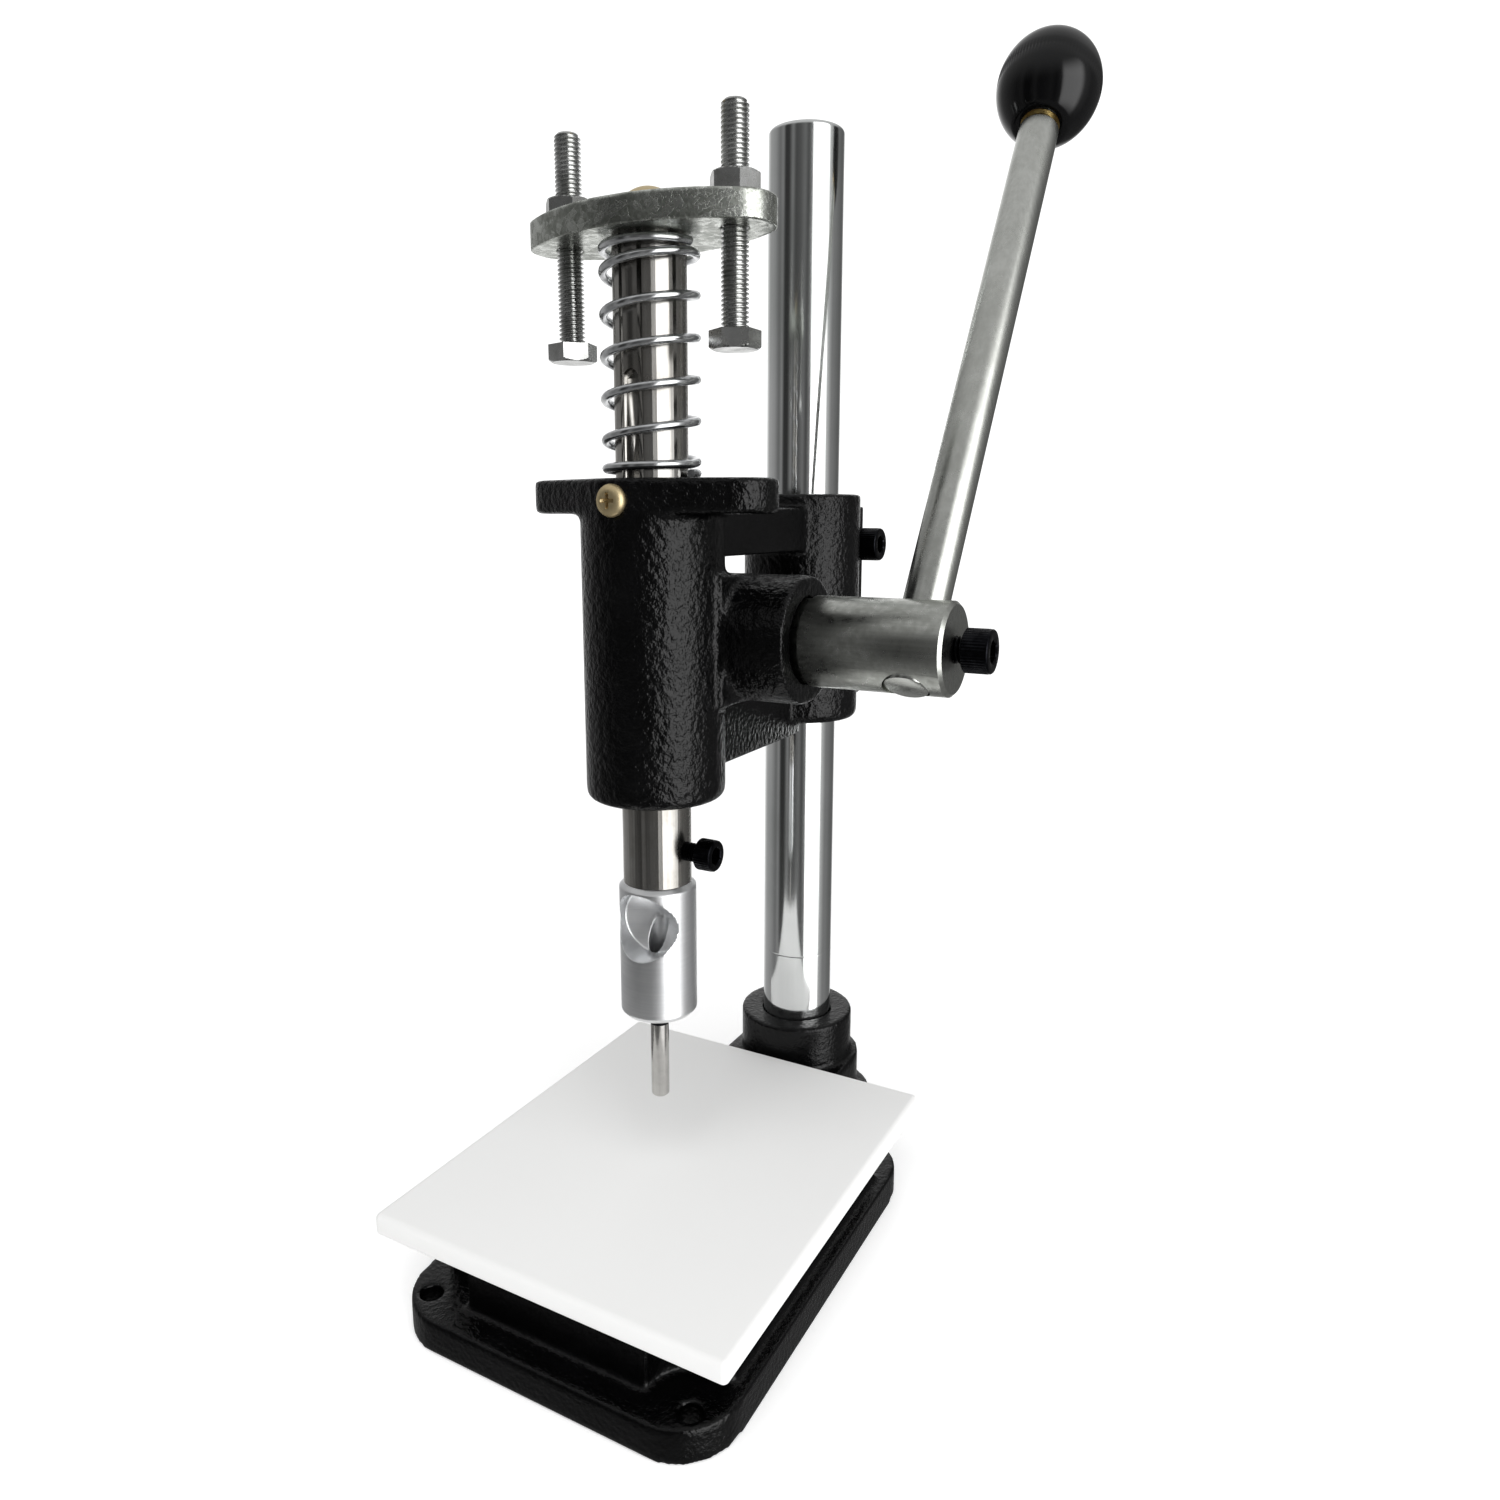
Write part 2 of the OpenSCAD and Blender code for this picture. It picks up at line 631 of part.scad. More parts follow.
module handle_rod() color([0.66, 0.67, 0.65]) on_handle() {
    body_l = handle_l - knob_below + rod_tail;
    translate([0, 0, -rod_tail]) {
        translate([0, 0, 1]) cylinder(r = rod_r, h = body_l - 1);
        cylinder(r1 = rod_r - 1, r2 = rod_r, h = 1);
        cylinder(r = knob_spigot_r, h = body_l + spigot_l);
    }
}

// Half outline of the knob: an egg, blunt at the crown, that narrows to a flat neck on the rod
module knob_outline() {
    steps = 24;
    neck_a = asin(knob_neck_r / (knob_d / 2));
    polygon([
        [0, -knob_below * cos(neck_a)],
        for (i = [0 : steps])
            let(a = neck_a + (180 - neck_a) * i / steps)
            [knob_d / 2 * sin(a), a < 90 ? -knob_below * cos(a) : -knob_above * cos(a)]
    ]);
}

module handle_knob() color([0.04, 0.04, 0.045]) on_handle() translate([0, 0, handle_l]) difference() {
    rotate_extrude() knob_outline();
    translate([0, 0, -knob_below - 1]) cylinder(r = knob_spigot_r + insert_wall + running, h = spigot_l + 2);
}

module knob_insert() color([0.75, 0.6, 0.3]) on_handle() translate([0, 0, handle_l - knob_below]) {
    seat = knob_below * (1 - cos(asin(knob_neck_r / (knob_d / 2))));
    difference() {
        translate([0, 0, seat]) cylinder(r = knob_spigot_r + insert_wall, h = spigot_l + 0.5 - seat);
        translate([0, 0, -1]) cylinder(r = knob_spigot_r + running, h = spigot_l + 2);
    }
}

module hub_lock_screw() color([0.08, 0.08, 0.09])
    facing_right(hub_right + hub_screw_standoff, pinion_y, pinion_z)
        cap_screw(M8_CAP, rod_inset - rod_r - face_gap + hub_screw_standoff);

// ---------- tool ----------

module punch_holder() color([0.88, 0.89, 0.9]) translate([0, ram_y, 0]) difference() {
    union() {
        translate([0, 0, holder_bottom + 1.5]) chamfered(holder_r, holder_l - 1.5, 1.5);
        translate([0, 0, holder_bottom]) cylinder(r1 = holder_r - 1.5, r2 = holder_r, h = 1.5);
        translate([0, 0, holder_top - eps]) cylinder(r = shank_d / 2, h = shank_l);
    }
    translate([0, -window_setback, window_z]) rotate([90, 0, 0]) rotate_extrude()
        polygon([[0, holder_d], [window_r, holder_d], [window_r, 0], [0, -window_point]]);
    translate([0, 0, holder_bottom - 1]) cylinder(r = punch_r + running, h = window_z - holder_bottom);
    translate([0, 0, holder_bottom - 1]) cylinder(r = collar_r + running, h = 1 + collar_seat);
    translate([shank_flat, -shank_d / 2, holder_top]) cube([shank_d, shank_d, shank_l + 1]);
}

module hollow_punch() color([0.35, 0.33, 0.31]) translate([0, ram_y, punch_tip]) difference() {
    union() {
        translate([0, 0, punch_edge_h]) cylinder(r = punch_r, h = punch_out + punch_in - punch_edge_h);
        cylinder(r1 = punch_bore_r + 0.15, r2 = punch_r, h = punch_edge_h);
        translate([0, 0, punch_out - collar_out])
            cylinder(r1 = punch_r + 0.2, r2 = collar_r, h = collar_out + eps);
        translate([0, 0, punch_out]) cylinder(r = collar_r, h = collar_seat - running);
    }
    translate([0, 0, -1]) cylinder(r = punch_bore_r, h = punch_out + punch_in + 2);
}

module tool_set_screw() color([0.08, 0.08, 0.09])
    facing_right(ram_r + tool_screw_standoff, ram_y, tool_screw_z)
        cap_screw(M6_CAP, ram_r + tool_screw_standoff - shank_flat - face_gap);

base_casting();
column();
column_grub_screw();
cutting_board();
board_screws();
head_casting();
head_clamp_screw(clamp_z_upper);  // head_clamp_screw_upper
head_clamp_screw(clamp_z_lower);  // head_clamp_screw_lower
ram();
ram_guide_screw();
ram_top_screw();
return_spring();
stop_plate();
stop_bolt(-1);  // stop_bolt_left
stop_bolt(1);  // stop_bolt_right
lock_nut(-1);  // lock_nut_left
lock_nut(1);  // lock_nut_right
pinion_shaft();
pinion_washer();
pinion_end_screw();
handle_rod();
handle_knob();
knob_insert();
hub_lock_screw();
punch_holder();
hollow_punch();
tool_set_screw();
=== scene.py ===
"""Looks of a bench hand press: castings, turned steel, fasteners, spring, board and knob."""

from __future__ import annotations

import json
import logging
import math
from dataclasses import dataclass, field
from enum import Enum
from typing import Callable, Iterable, Sequence, Union

import bmesh
import bpy
from mathutils import Matrix, Vector


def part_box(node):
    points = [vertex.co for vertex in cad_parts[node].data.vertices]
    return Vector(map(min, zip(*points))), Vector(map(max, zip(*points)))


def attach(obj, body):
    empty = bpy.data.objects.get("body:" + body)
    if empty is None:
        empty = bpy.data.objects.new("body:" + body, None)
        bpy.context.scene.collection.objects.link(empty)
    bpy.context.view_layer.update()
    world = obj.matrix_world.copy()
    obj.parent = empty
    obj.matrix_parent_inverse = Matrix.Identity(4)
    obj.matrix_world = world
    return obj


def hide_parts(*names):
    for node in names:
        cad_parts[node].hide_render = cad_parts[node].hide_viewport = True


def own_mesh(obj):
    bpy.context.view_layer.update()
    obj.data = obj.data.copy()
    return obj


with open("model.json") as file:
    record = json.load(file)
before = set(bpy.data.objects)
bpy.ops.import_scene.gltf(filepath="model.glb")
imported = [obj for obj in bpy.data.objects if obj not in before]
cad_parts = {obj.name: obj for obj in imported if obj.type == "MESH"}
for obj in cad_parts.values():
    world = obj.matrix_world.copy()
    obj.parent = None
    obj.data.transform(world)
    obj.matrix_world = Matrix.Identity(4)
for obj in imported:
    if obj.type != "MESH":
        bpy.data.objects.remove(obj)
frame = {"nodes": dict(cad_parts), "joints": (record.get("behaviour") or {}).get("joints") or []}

LOG = logging.getLogger("hand_press")
MM = 0.001
TAU = 2 * math.pi
REST_LEAN = math.radians(33.7)
M8_CAP = {"thread_r": 4.0, "head_r": 6.5, "head_h": 8.0, "socket": 6.0, "pitch": 1.25, "teeth": 44}
M6_CAP = {"thread_r": 3.0, "head_r": 5.0, "head_h": 6.0, "socket": 5.0, "pitch": 1.0, "teeth": 36}
FLATS_PER_THREAD = 1.625
HEAD_PER_THREAD = 0.66
DEPTH_PER_PITCH = 0.61
THREAD_PLAY = 0.05
Shape = Union[float, Callable[[float], float]]
Ring = tuple[float, Shape]
Colour = tuple[float, float, float]


class Body(Enum):
    """The rigid bodies that pieces ride on."""

    BASE = "base"
    COLUMN = "column"
    HEAD = "head"
    UPPER_CLAMP = "upper_clamp"
    LOWER_CLAMP = "lower_clamp"
    RAM = "ram"
    STOP_LEFT = "stop_bolt_left"
    STOP_RIGHT = "stop_bolt_right"
    PINION = "pinion"
    HUB_LOCK = "hub_lock"
    HANDLE = "handle"
    TOOL = "tool"
    TOOL_LOCK = "tool_lock"


class Slot(Enum):
    """The material slots of the record."""

    CAST = "cast_black"
    CHROME = "chrome_column"
    OXIDE = "black_oxide"
    BOARD = "white_board"
    ZINC = "zinc_screw"
    GROUND = "ground_steel"
    YELLOW = "yellow_zinc"
    SPRING = "spring_wire"
    GALVANISED = "galvanised"
    ROD = "zinc_rod"
    KNOB = "black_knob"
    BRASS = "brass_insert"
    ALUMINIUM = "bright_aluminium"
    TOOL_STEEL = "hardened_steel"


# ---------- shader graphs ----------


class Value:
    """A shader socket that takes part in Python arithmetic, which adds Math nodes to its graph."""

    def __init__(self, graph: "Graph", socket: bpy.types.NodeSocket) -> None:
        """Wraps an output socket of a graph."""
        self.graph = graph
        self.socket = socket

    def __add__(self, other: "Value | float") -> "Value":
        """The sum of both."""
        return self.graph.math("ADD", self, other)

    def __mul__(self, other: "Value | float") -> "Value":
        """The product of both."""
        return self.graph.math("MULTIPLY", self, other)

    __radd__ = __add__
    __rmul__ = __mul__

    def ramp(self, low: float, high: float, out_low: float = 0.0, out_high: float = 1.0) -> "Value":
        """Smoothly maps low..high to out_low..out_high, clamped.

        Args:
            low: the value that gives out_low.
            high: the value that gives out_high.
            out_low: the result at low.
            out_high: the result at high.

        Returns:
            The mapped value.
        """
        sockets = {"Value": self, "From Min": low, "From Max": high, "To Min": out_low, "To Max": out_high}
        node = self.graph.node("ShaderNodeMapRange", {"interpolation_type": "SMOOTHSTEP"}, sockets)
        return Value(self.graph, node.outputs["Result"])


class Graph:
    """A node tree, and the ways to add nodes to it."""

    def __init__(self, tree: bpy.types.NodeTree) -> None:
        """Takes over the node tree of a material or a world."""
        self.tree = tree

    def node(self, kind: str, settings: dict | None = None, sockets: dict | None = None) -> bpy.types.Node:
        """Adds one node.

        Args:
            kind: the node's type.
            settings: its properties, set first; "stops" holds a colour ramp's (position, colour) pairs.
            sockets: the values or links of its inputs, by name or number.

        Returns:
            The new node.
        """
        node = self.tree.nodes.new(kind)
        for key, value in (settings or {}).items():
            if key == "stops":
                self._set_stops(node.color_ramp, value)
            else:
                setattr(node, key, value)
        for key, value in (sockets or {}).items():
            self._feed(node.inputs[key], value)
        return node

    @staticmethod
    def _set_stops(ramp: bpy.types.ColorRamp, stops: Sequence[tuple[float, Colour]]) -> None:
        """Gives a colour ramp its stops.

        Args:
            ramp: the colour ramp.
            stops: its (position, colour) pairs.
        """
        while len(ramp.elements) < len(stops):
            ramp.elements.new(1.0)
        for element, (position, colour) in zip(ramp.elements, stops):
            element.position = position
            element.color = (*colour, 1.0)

    def _feed(self, socket: bpy.types.NodeSocket, value: object) -> None:
        """Links a value or sets a constant on an input.

        Args:
            socket: the input.
            value: what it gets.
        """
        if isinstance(value, Value):
            self.tree.links.new(value.socket, socket)
        elif isinstance(value, tuple) and socket.type == "RGBA":
            socket.default_value = (*value, 1.0)
        else:
            socket.default_value = value

    def math(self, operation: str, *operands: Value | float) -> Value:
        """Adds one Math node and gives its result."""
        node = self.node("ShaderNodeMath", {"operation": operation}, dict(enumerate(operands)))
        return Value(self, node.outputs[0])

    def place(self, scale: Sequence[float] = (1, 1, 1), turn: Sequence[float] = (0, 0, 0)) -> Value:
        """Object coordinates, turned and scaled.

        Args:
            scale: how much each axis is stretched.
            turn: the rotation in radians.

        Returns:
            The coordinates.
        """
        points = Value(self, self.node("ShaderNodeTexCoord").outputs["Object"])
        node = self.node("ShaderNodeMapping", {}, {"Vector": points, "Rotation": turn, "Scale": scale})
        return Value(self, node.outputs["Vector"])

    def noise(self, points: Value, scale: float, detail: float = 2.0, roughness: float = 0.5) -> Value:
        """Fractal noise from 0 to 1 at so many cells per metre."""
        sockets = {"Vector": points, "Scale": scale, "Detail": detail, "Roughness": roughness}
        return Value(self, self.node("ShaderNodeTexNoise", {}, sockets).outputs["Fac"])

    def cells(self, points: Value, scale: float) -> Value:
        """The softened distance to the nearest of scattered points.

        Args:
            points: the coordinates.
            scale: the number of cells per metre.

        Returns:
            The distance, where 1 is about the width of a cell.
        """
        sockets = {"Vector": points, "Scale": scale, "Randomness": 1.0}
        node = self.node("ShaderNodeTexVoronoi", {"feature": "SMOOTH_F1"}, sockets)
        return Value(self, node.outputs["Distance"])

    def patches(self, points: Value, scale: float) -> Value:
        """One random value for each scattered cell.

        Args:
            points: the coordinates.
            scale: the number of cells per metre.

        Returns:
            The value, from 0 to 1.
        """
        node = self.node("ShaderNodeTexVoronoi", {"feature": "F1"}, {"Vector": points, "Scale": scale})
        split = self.node("ShaderNodeSeparateColor", {}, {"Color": Value(self, node.outputs["Color"])})
        return Value(self, split.outputs[0])

    def colour_ramp(self, factor: Value, stops: Sequence[tuple[float, Colour]]) -> Value:
        """A colour that runs through the stops as the factor goes from 0 to 1."""
        node = self.node("ShaderNodeValToRGB", {"stops": stops}, {"Fac": factor})
        return Value(self, node.outputs["Color"])

    def length(self, points: Value) -> Value:
        """The distance of points from the origin."""
        node = self.node("ShaderNodeVectorMath", {"operation": "LENGTH"}, {0: points})
        return Value(self, node.outputs["Value"])

    def mix(self, factor: Value, first: Colour | Value, second: Colour | Value) -> Value:
        """A blend of two colours."""
        node = self.node("ShaderNodeMix", {"data_type": "RGBA"}, {0: factor, 6: first, 7: second})
        return Value(self, node.outputs[2])

    def bump(self, height: Value, strength: float, distance: float) -> Value:
        """A normal raised by a height.

        Args:
            height: the height, as a share of distance.
            strength: how strong the effect is, from 0 to 1.
            distance: the height that 1 stands for, in metres.

        Returns:
            The normal.
        """
        sockets = {"Height": height, "Strength": strength, "Distance": distance}
        return Value(self, self.node("ShaderNodeBump", {}, sockets).outputs["Normal"])


class Coat(Graph):
    """The graph of one material with a Principled shader."""

    def __init__(self, name: str) -> None:
        """Starts a material.

        Args:
            name: the material's name.
        """
        self.material = bpy.data.materials.new(name)
        self.material.use_nodes = True
        super().__init__(self.material.node_tree)
        self.shader = self.tree.nodes["Principled BSDF"]

    def finish(self, constants: dict[str, object], varying: dict[str, Value]) -> bpy.types.Material:
        """Sets the shader's own sockets and links what varies.

        Args:
            constants: plain values by socket name.
            varying: what changes over the surface, by socket name.

        Returns:
            The material.
        """
        for name, value in {**constants, **varying}.items():
            self._feed(self.shader.inputs[name], value)
        return self.material


# ---------- finishes ----------


@dataclass(frozen=True)
class Finish:
    """One surface finish, which makes its material when it is first used."""

    name: str
    slot: Slot

    def material(self) -> bpy.types.Material:
        """The material, made once."""
        return bpy.data.materials.get(self.name) or self.make(Coat(self.name))

    def make(self, graph: Coat) -> bpy.types.Material:
        """Builds the material's nodes in a graph."""
        raise NotImplementedError


@dataclass(frozen=True)
class CastEnamel(Finish):
    """Gloss black enamel over the orange-peel skin of a sand casting."""

    grain: float = 520.0
    depth: float = 0.0011
    gloss: float = 0.13

    def make(self, graph: Coat) -> bpy.types.Material:
        """Lumpy skin, a finer ripple in the enamel and dusty patches in the gloss.

        Args:
            graph: the graph of the material.

        Returns:
            The material.
        """
        points = graph.place()
        lumps = graph.noise(points, self.grain, 2.5, 0.55)
        cells = graph.cells(points, self.grain * 0.8)
        ripple = graph.noise(points, self.grain * 3.1, 2.0)
        height = lumps * 0.8 + cells * 0.3 + ripple * 0.14
        normal = graph.bump(height, 0.8, self.depth)
        dust = graph.noise(points, 55.0, 4.0, 0.65)
        colour = graph.mix(dust.ramp(0.4, 0.75), (0.0012, 0.0012, 0.0014), (0.0035, 0.0036, 0.004))
        rough = dust.ramp(0.3, 0.8, self.gloss, self.gloss * 1.7) + ripple * 0.05
        constants = {"IOR": 1.5, "Specular IOR Level": 0.42}
        return graph.finish(constants, {"Base Color": colour, "Roughness": rough, "Normal": normal})


@dataclass(frozen=True)
class Metal(Finish):
    """Bare or plated metal with a grain along one axis, soft cloudiness and fine scratches."""

    dark: Colour = (0.4, 0.4, 0.4)
    light: Colour = (0.7, 0.7, 0.7)
    rough: float = 0.2
    rough_swing: float = 0.08
    grain_scale: tuple[float, float, float] = (900.0, 900.0, 30.0)
    grain_turn: tuple[float, float, float] = (0.0, 0.0, 0.0)
    grain_depth: float = 0.000012
    cloud: float = 60.0

    def make(self, graph: Coat) -> bpy.types.Material:
        """Grain lines that tilt the normal, and clouds that tint it and dull it.

        Args:
            graph: the graph of the material.

        Returns:
            The material.
        """
        lines = graph.noise(graph.place(self.grain_scale, self.grain_turn), 1.0, 3.0, 0.6)
        clouds = graph.noise(graph.place(), self.cloud, 5.0, 0.6)
        tone = (clouds * 0.65 + lines * 0.35).ramp(0.32, 0.68)
        colour = graph.mix(tone, self.dark, self.light)
        rough = clouds.ramp(0.3, 0.72, self.rough + self.rough_swing, self.rough) + lines * 0.05
        normal = graph.bump(lines, 0.6, self.grain_depth)
        return graph.finish({"Metallic": 1.0}, {"Base Color": colour, "Roughness": rough, "Normal": normal})


@dataclass(frozen=True)
class Galvanised(Finish):
    """Zinc-dipped steel with dull crystal patches, rubbed brighter in places."""

    dark: Colour = (0.36, 0.375, 0.34)
    light: Colour = (0.74, 0.76, 0.72)
    spangle: float = 480.0
    rough: float = 0.22

    def make(self, graph: Coat) -> bpy.types.Material:
        """Two sizes of crystal patch under soft clouds, and a shallow pitting.

        Args:
            graph: the graph of the material.

        Returns:
            The material.
        """
        points = graph.place()
        large = graph.patches(points, self.spangle)
        small = graph.patches(points, self.spangle * 2.7)
        clouds = graph.noise(points, 70.0, 4.0, 0.6)
        tone = large * 0.32 + small * 0.2 + clouds * 0.75
        colour = graph.mix(tone.ramp(0.35, 0.95), self.dark, self.light)
        rough = tone.ramp(0.3, 1.0, self.rough + 0.12, self.rough)
        pits = graph.noise(points, 700.0, 3.0, 0.7)
        normal = graph.bump(pits + large * 0.5 + small * 0.3, 0.6, 0.00012)
        return graph.finish({"Metallic": 1.0}, {"Base Color": colour, "Roughness": rough, "Normal": normal})


@dataclass(frozen=True)
class Moulded(Finish):
    """Plastic with a faint flow texture under its gloss."""

    dark: Colour = (0.01, 0.01, 0.011)
    light: Colour = (0.02, 0.02, 0.022)
    rough: float = 0.08
    texture: float = 300.0
    depth: float = 0.00002
    soft: float = 0.0

    def make(self, graph: Coat) -> bpy.types.Material:
        """Slow colour drift, smears in the gloss and a shallow texture.

        Args:
            graph: the graph of the material.

        Returns:
            The material.
        """
        points = graph.place()
        drift = graph.noise(points, 25.0, 3.0)
        smears = graph.noise(points, 120.0, 5.0, 0.7)
        colour = graph.mix(drift.ramp(0.3, 0.7), self.dark, self.light)
        rough = smears.ramp(0.35, 0.75, self.rough, self.rough * 1.6)
        normal = graph.bump(graph.noise(points, self.texture, 3.0), 0.5, self.depth)
        constants = {"IOR": 1.5, "Subsurface Weight": self.soft, "Subsurface Radius": (0.004, 0.004, 0.004),
                     "Subsurface Scale": 1.0}
        return graph.finish(constants, {"Base Color": colour, "Roughness": rough, "Normal": normal})


HEAD_ENAMEL = CastEnamel("head_enamel", Slot.CAST)
BASE_ENAMEL = CastEnamel("base_enamel", Slot.CAST, grain=760.0, depth=0.00045, gloss=0.13)
CHROME = Metal("column_chrome", Slot.CHROME, (0.74, 0.76, 0.75), (0.9, 0.91, 0.91), 0.07, 0.07,
               (260.0, 260.0, 3.0), grain_depth=0.000006, cloud=18.0)
GROUND = Metal("ram_ground_steel", Slot.GROUND, (0.36, 0.345, 0.32), (0.54, 0.53, 0.51), 0.17, 0.08,
               (700.0, 700.0, 14.0), grain_depth=0.000014, cloud=45.0)
ZINC = Metal("bright_zinc", Slot.ZINC, (0.46, 0.465, 0.45), (0.7, 0.705, 0.7), 0.2, 0.08,
             (160.0, 160.0, 160.0), grain_depth=0.000006, cloud=200.0)
YELLOW = Metal("yellow_zinc", Slot.YELLOW, (0.34, 0.27, 0.18), (0.7, 0.6, 0.44), 0.16, 0.1,
               (600.0, 600.0, 600.0), grain_depth=0.00001, cloud=260.0)
SPRING_STEEL = Metal("spring_steel", Slot.SPRING, (0.6, 0.61, 0.62), (0.85, 0.86, 0.87), 0.12, 0.08,
                     (200.0, 200.0, 200.0), grain_depth=0.000006, cloud=200.0)
ROD_ZINC = Metal("rod_satin_zinc", Slot.ROD, (0.54, 0.55, 0.52), (0.68, 0.69, 0.66), 0.18, 0.1,
                 (700.0, 700.0, 9.0), (REST_LEAN, 0.0, 0.0), 0.00002, 70.0)
HUB_ZINC = Metal("hub_zinc", Slot.GALVANISED, (0.46, 0.47, 0.44), (0.6, 0.61, 0.58), 0.23, 0.12,
                 (10.0, 900.0, 900.0), grain_depth=0.00003, cloud=420.0)
ALUMINIUM = Metal("turned_aluminium", Slot.ALUMINIUM, (0.86, 0.87, 0.88), (0.97, 0.975, 0.98), 0.34, 0.06,
                  (20.0, 20.0, 1800.0), grain_depth=0.000008, cloud=60.0)
TEMPERED = Metal("tempered_steel", Slot.TOOL_STEEL, (0.42, 0.41, 0.4), (0.6, 0.59, 0.57), 0.1, 0.05,
                 (600.0, 600.0, 20.0), grain_depth=0.00001, cloud=120.0)
BRASS = Metal("turned_brass", Slot.BRASS, (0.6, 0.42, 0.16), (0.82, 0.62, 0.3), 0.22, 0.1)
OXIDE = Metal("oiled_black_oxide", Slot.OXIDE, (0.008, 0.008, 0.01), (0.03, 0.031, 0.035), 0.2, 0.12,
              (400.0, 400.0, 400.0), grain_depth=0.00001, cloud=320.0)
GALVANISED = Galvanised("galvanised_plate", Slot.GALVANISED)
PHENOLIC = Moulded("black_phenolic", Slot.KNOB, (0.0025, 0.0025, 0.0028), (0.005, 0.005, 0.0055), rough=0.11)
BOARD_WHITE = Moulded("white_board", Slot.BOARD, (0.38, 0.39, 0.39), (0.43, 0.44, 0.44), 0.13, 300.0, 0.00003,
                      soft=0.1)


# ---------- shapes ----------


def at(x: float, y: float, z: float) -> Matrix:
    """A place in millimetres, with +Z up."""
    return Matrix.Translation(Vector((x, y, z)) * MM)


def facing_right(x: float, y: float, z: float) -> Matrix:
    """A place in millimetres whose +Z points along +X."""
    return at(x, y, z) @ Matrix.Rotation(math.pi / 2, 4, "Y")


def facing_front(x: float, y: float, z: float) -> Matrix:
    """A place in millimetres whose +Z points along -Y."""
    return at(x, y, z) @ Matrix.Rotation(math.pi / 2, 4, "X")


def hexagon(across_flats: float) -> Callable[[float], float]:
    """The radius of a hexagon at an angle, with a corner at angle 0."""
    return lambda angle: across_flats / 2 / math.cos(angle % (TAU / 6) - TAU / 12)


def chamfered_hexagon(across_flats: float, from_end: float) -> Callable[[float], float]:
    """A hexagon whose corners are cut by a 30 degree cone.

    Args:
        across_flats: the width over two flats.
        from_end: how far it lies under the face of the cone.

    Returns:
        The radius at an angle.
    """
    side = hexagon(across_flats)
    cone = across_flats / 2 * 0.97 + from_end / math.tan(math.radians(30))
    return lambda angle: min(side(angle), cone)


def knurled(radius: float, teeth: int, depth: float) -> Callable[[float], float]:
    """A circle with straight ribs."""
    return lambda angle: radius - depth * (0.5 - 0.5 * math.cos(angle * teeth))


def cross(arm: float, half_width: float) -> Callable[[float], float]:
    """A plus sign.

    Args:
        arm: the length of an arm from the middle.
        half_width: half the width of an arm.

    Returns:
        The radius at an angle.
    """

    def radius(angle: float) -> float:
        """The larger of the two bars' radii."""
        c, s = max(abs(math.cos(angle)), 1e-6), max(abs(math.sin(angle)), 1e-6)
        return max(min(arm / c, half_width / s), min(half_width / c, arm / s))

    return radius


def hex_stations(across_flats: float, height: float, chamfer_low: bool, chamfer_high: bool) -> list[Ring]:
    """Rings of a hexagon head or nut with coned ends, from its bottom to its top.

    Args:
        across_flats: the width over two flats.
        height: the thickness.
        chamfer_low: whether the bottom corners are cut.
        chamfer_high: whether the top corners are cut.

    Returns:
        The rings.
    """
    steps = [0.0, 0.12, 0.3, 0.55, 0.85, 1.2]
    plain = hexagon(across_flats)
    bottom = [(s, chamfered_hexagon(across_flats, s)) for s in steps] if chamfer_low else [(0.0, plain)]
    top = [(height - s, chamfered_hexagon(across_flats, s)) for s in reversed(steps)]
    return bottom + (top if chamfer_high else [(height, plain)])


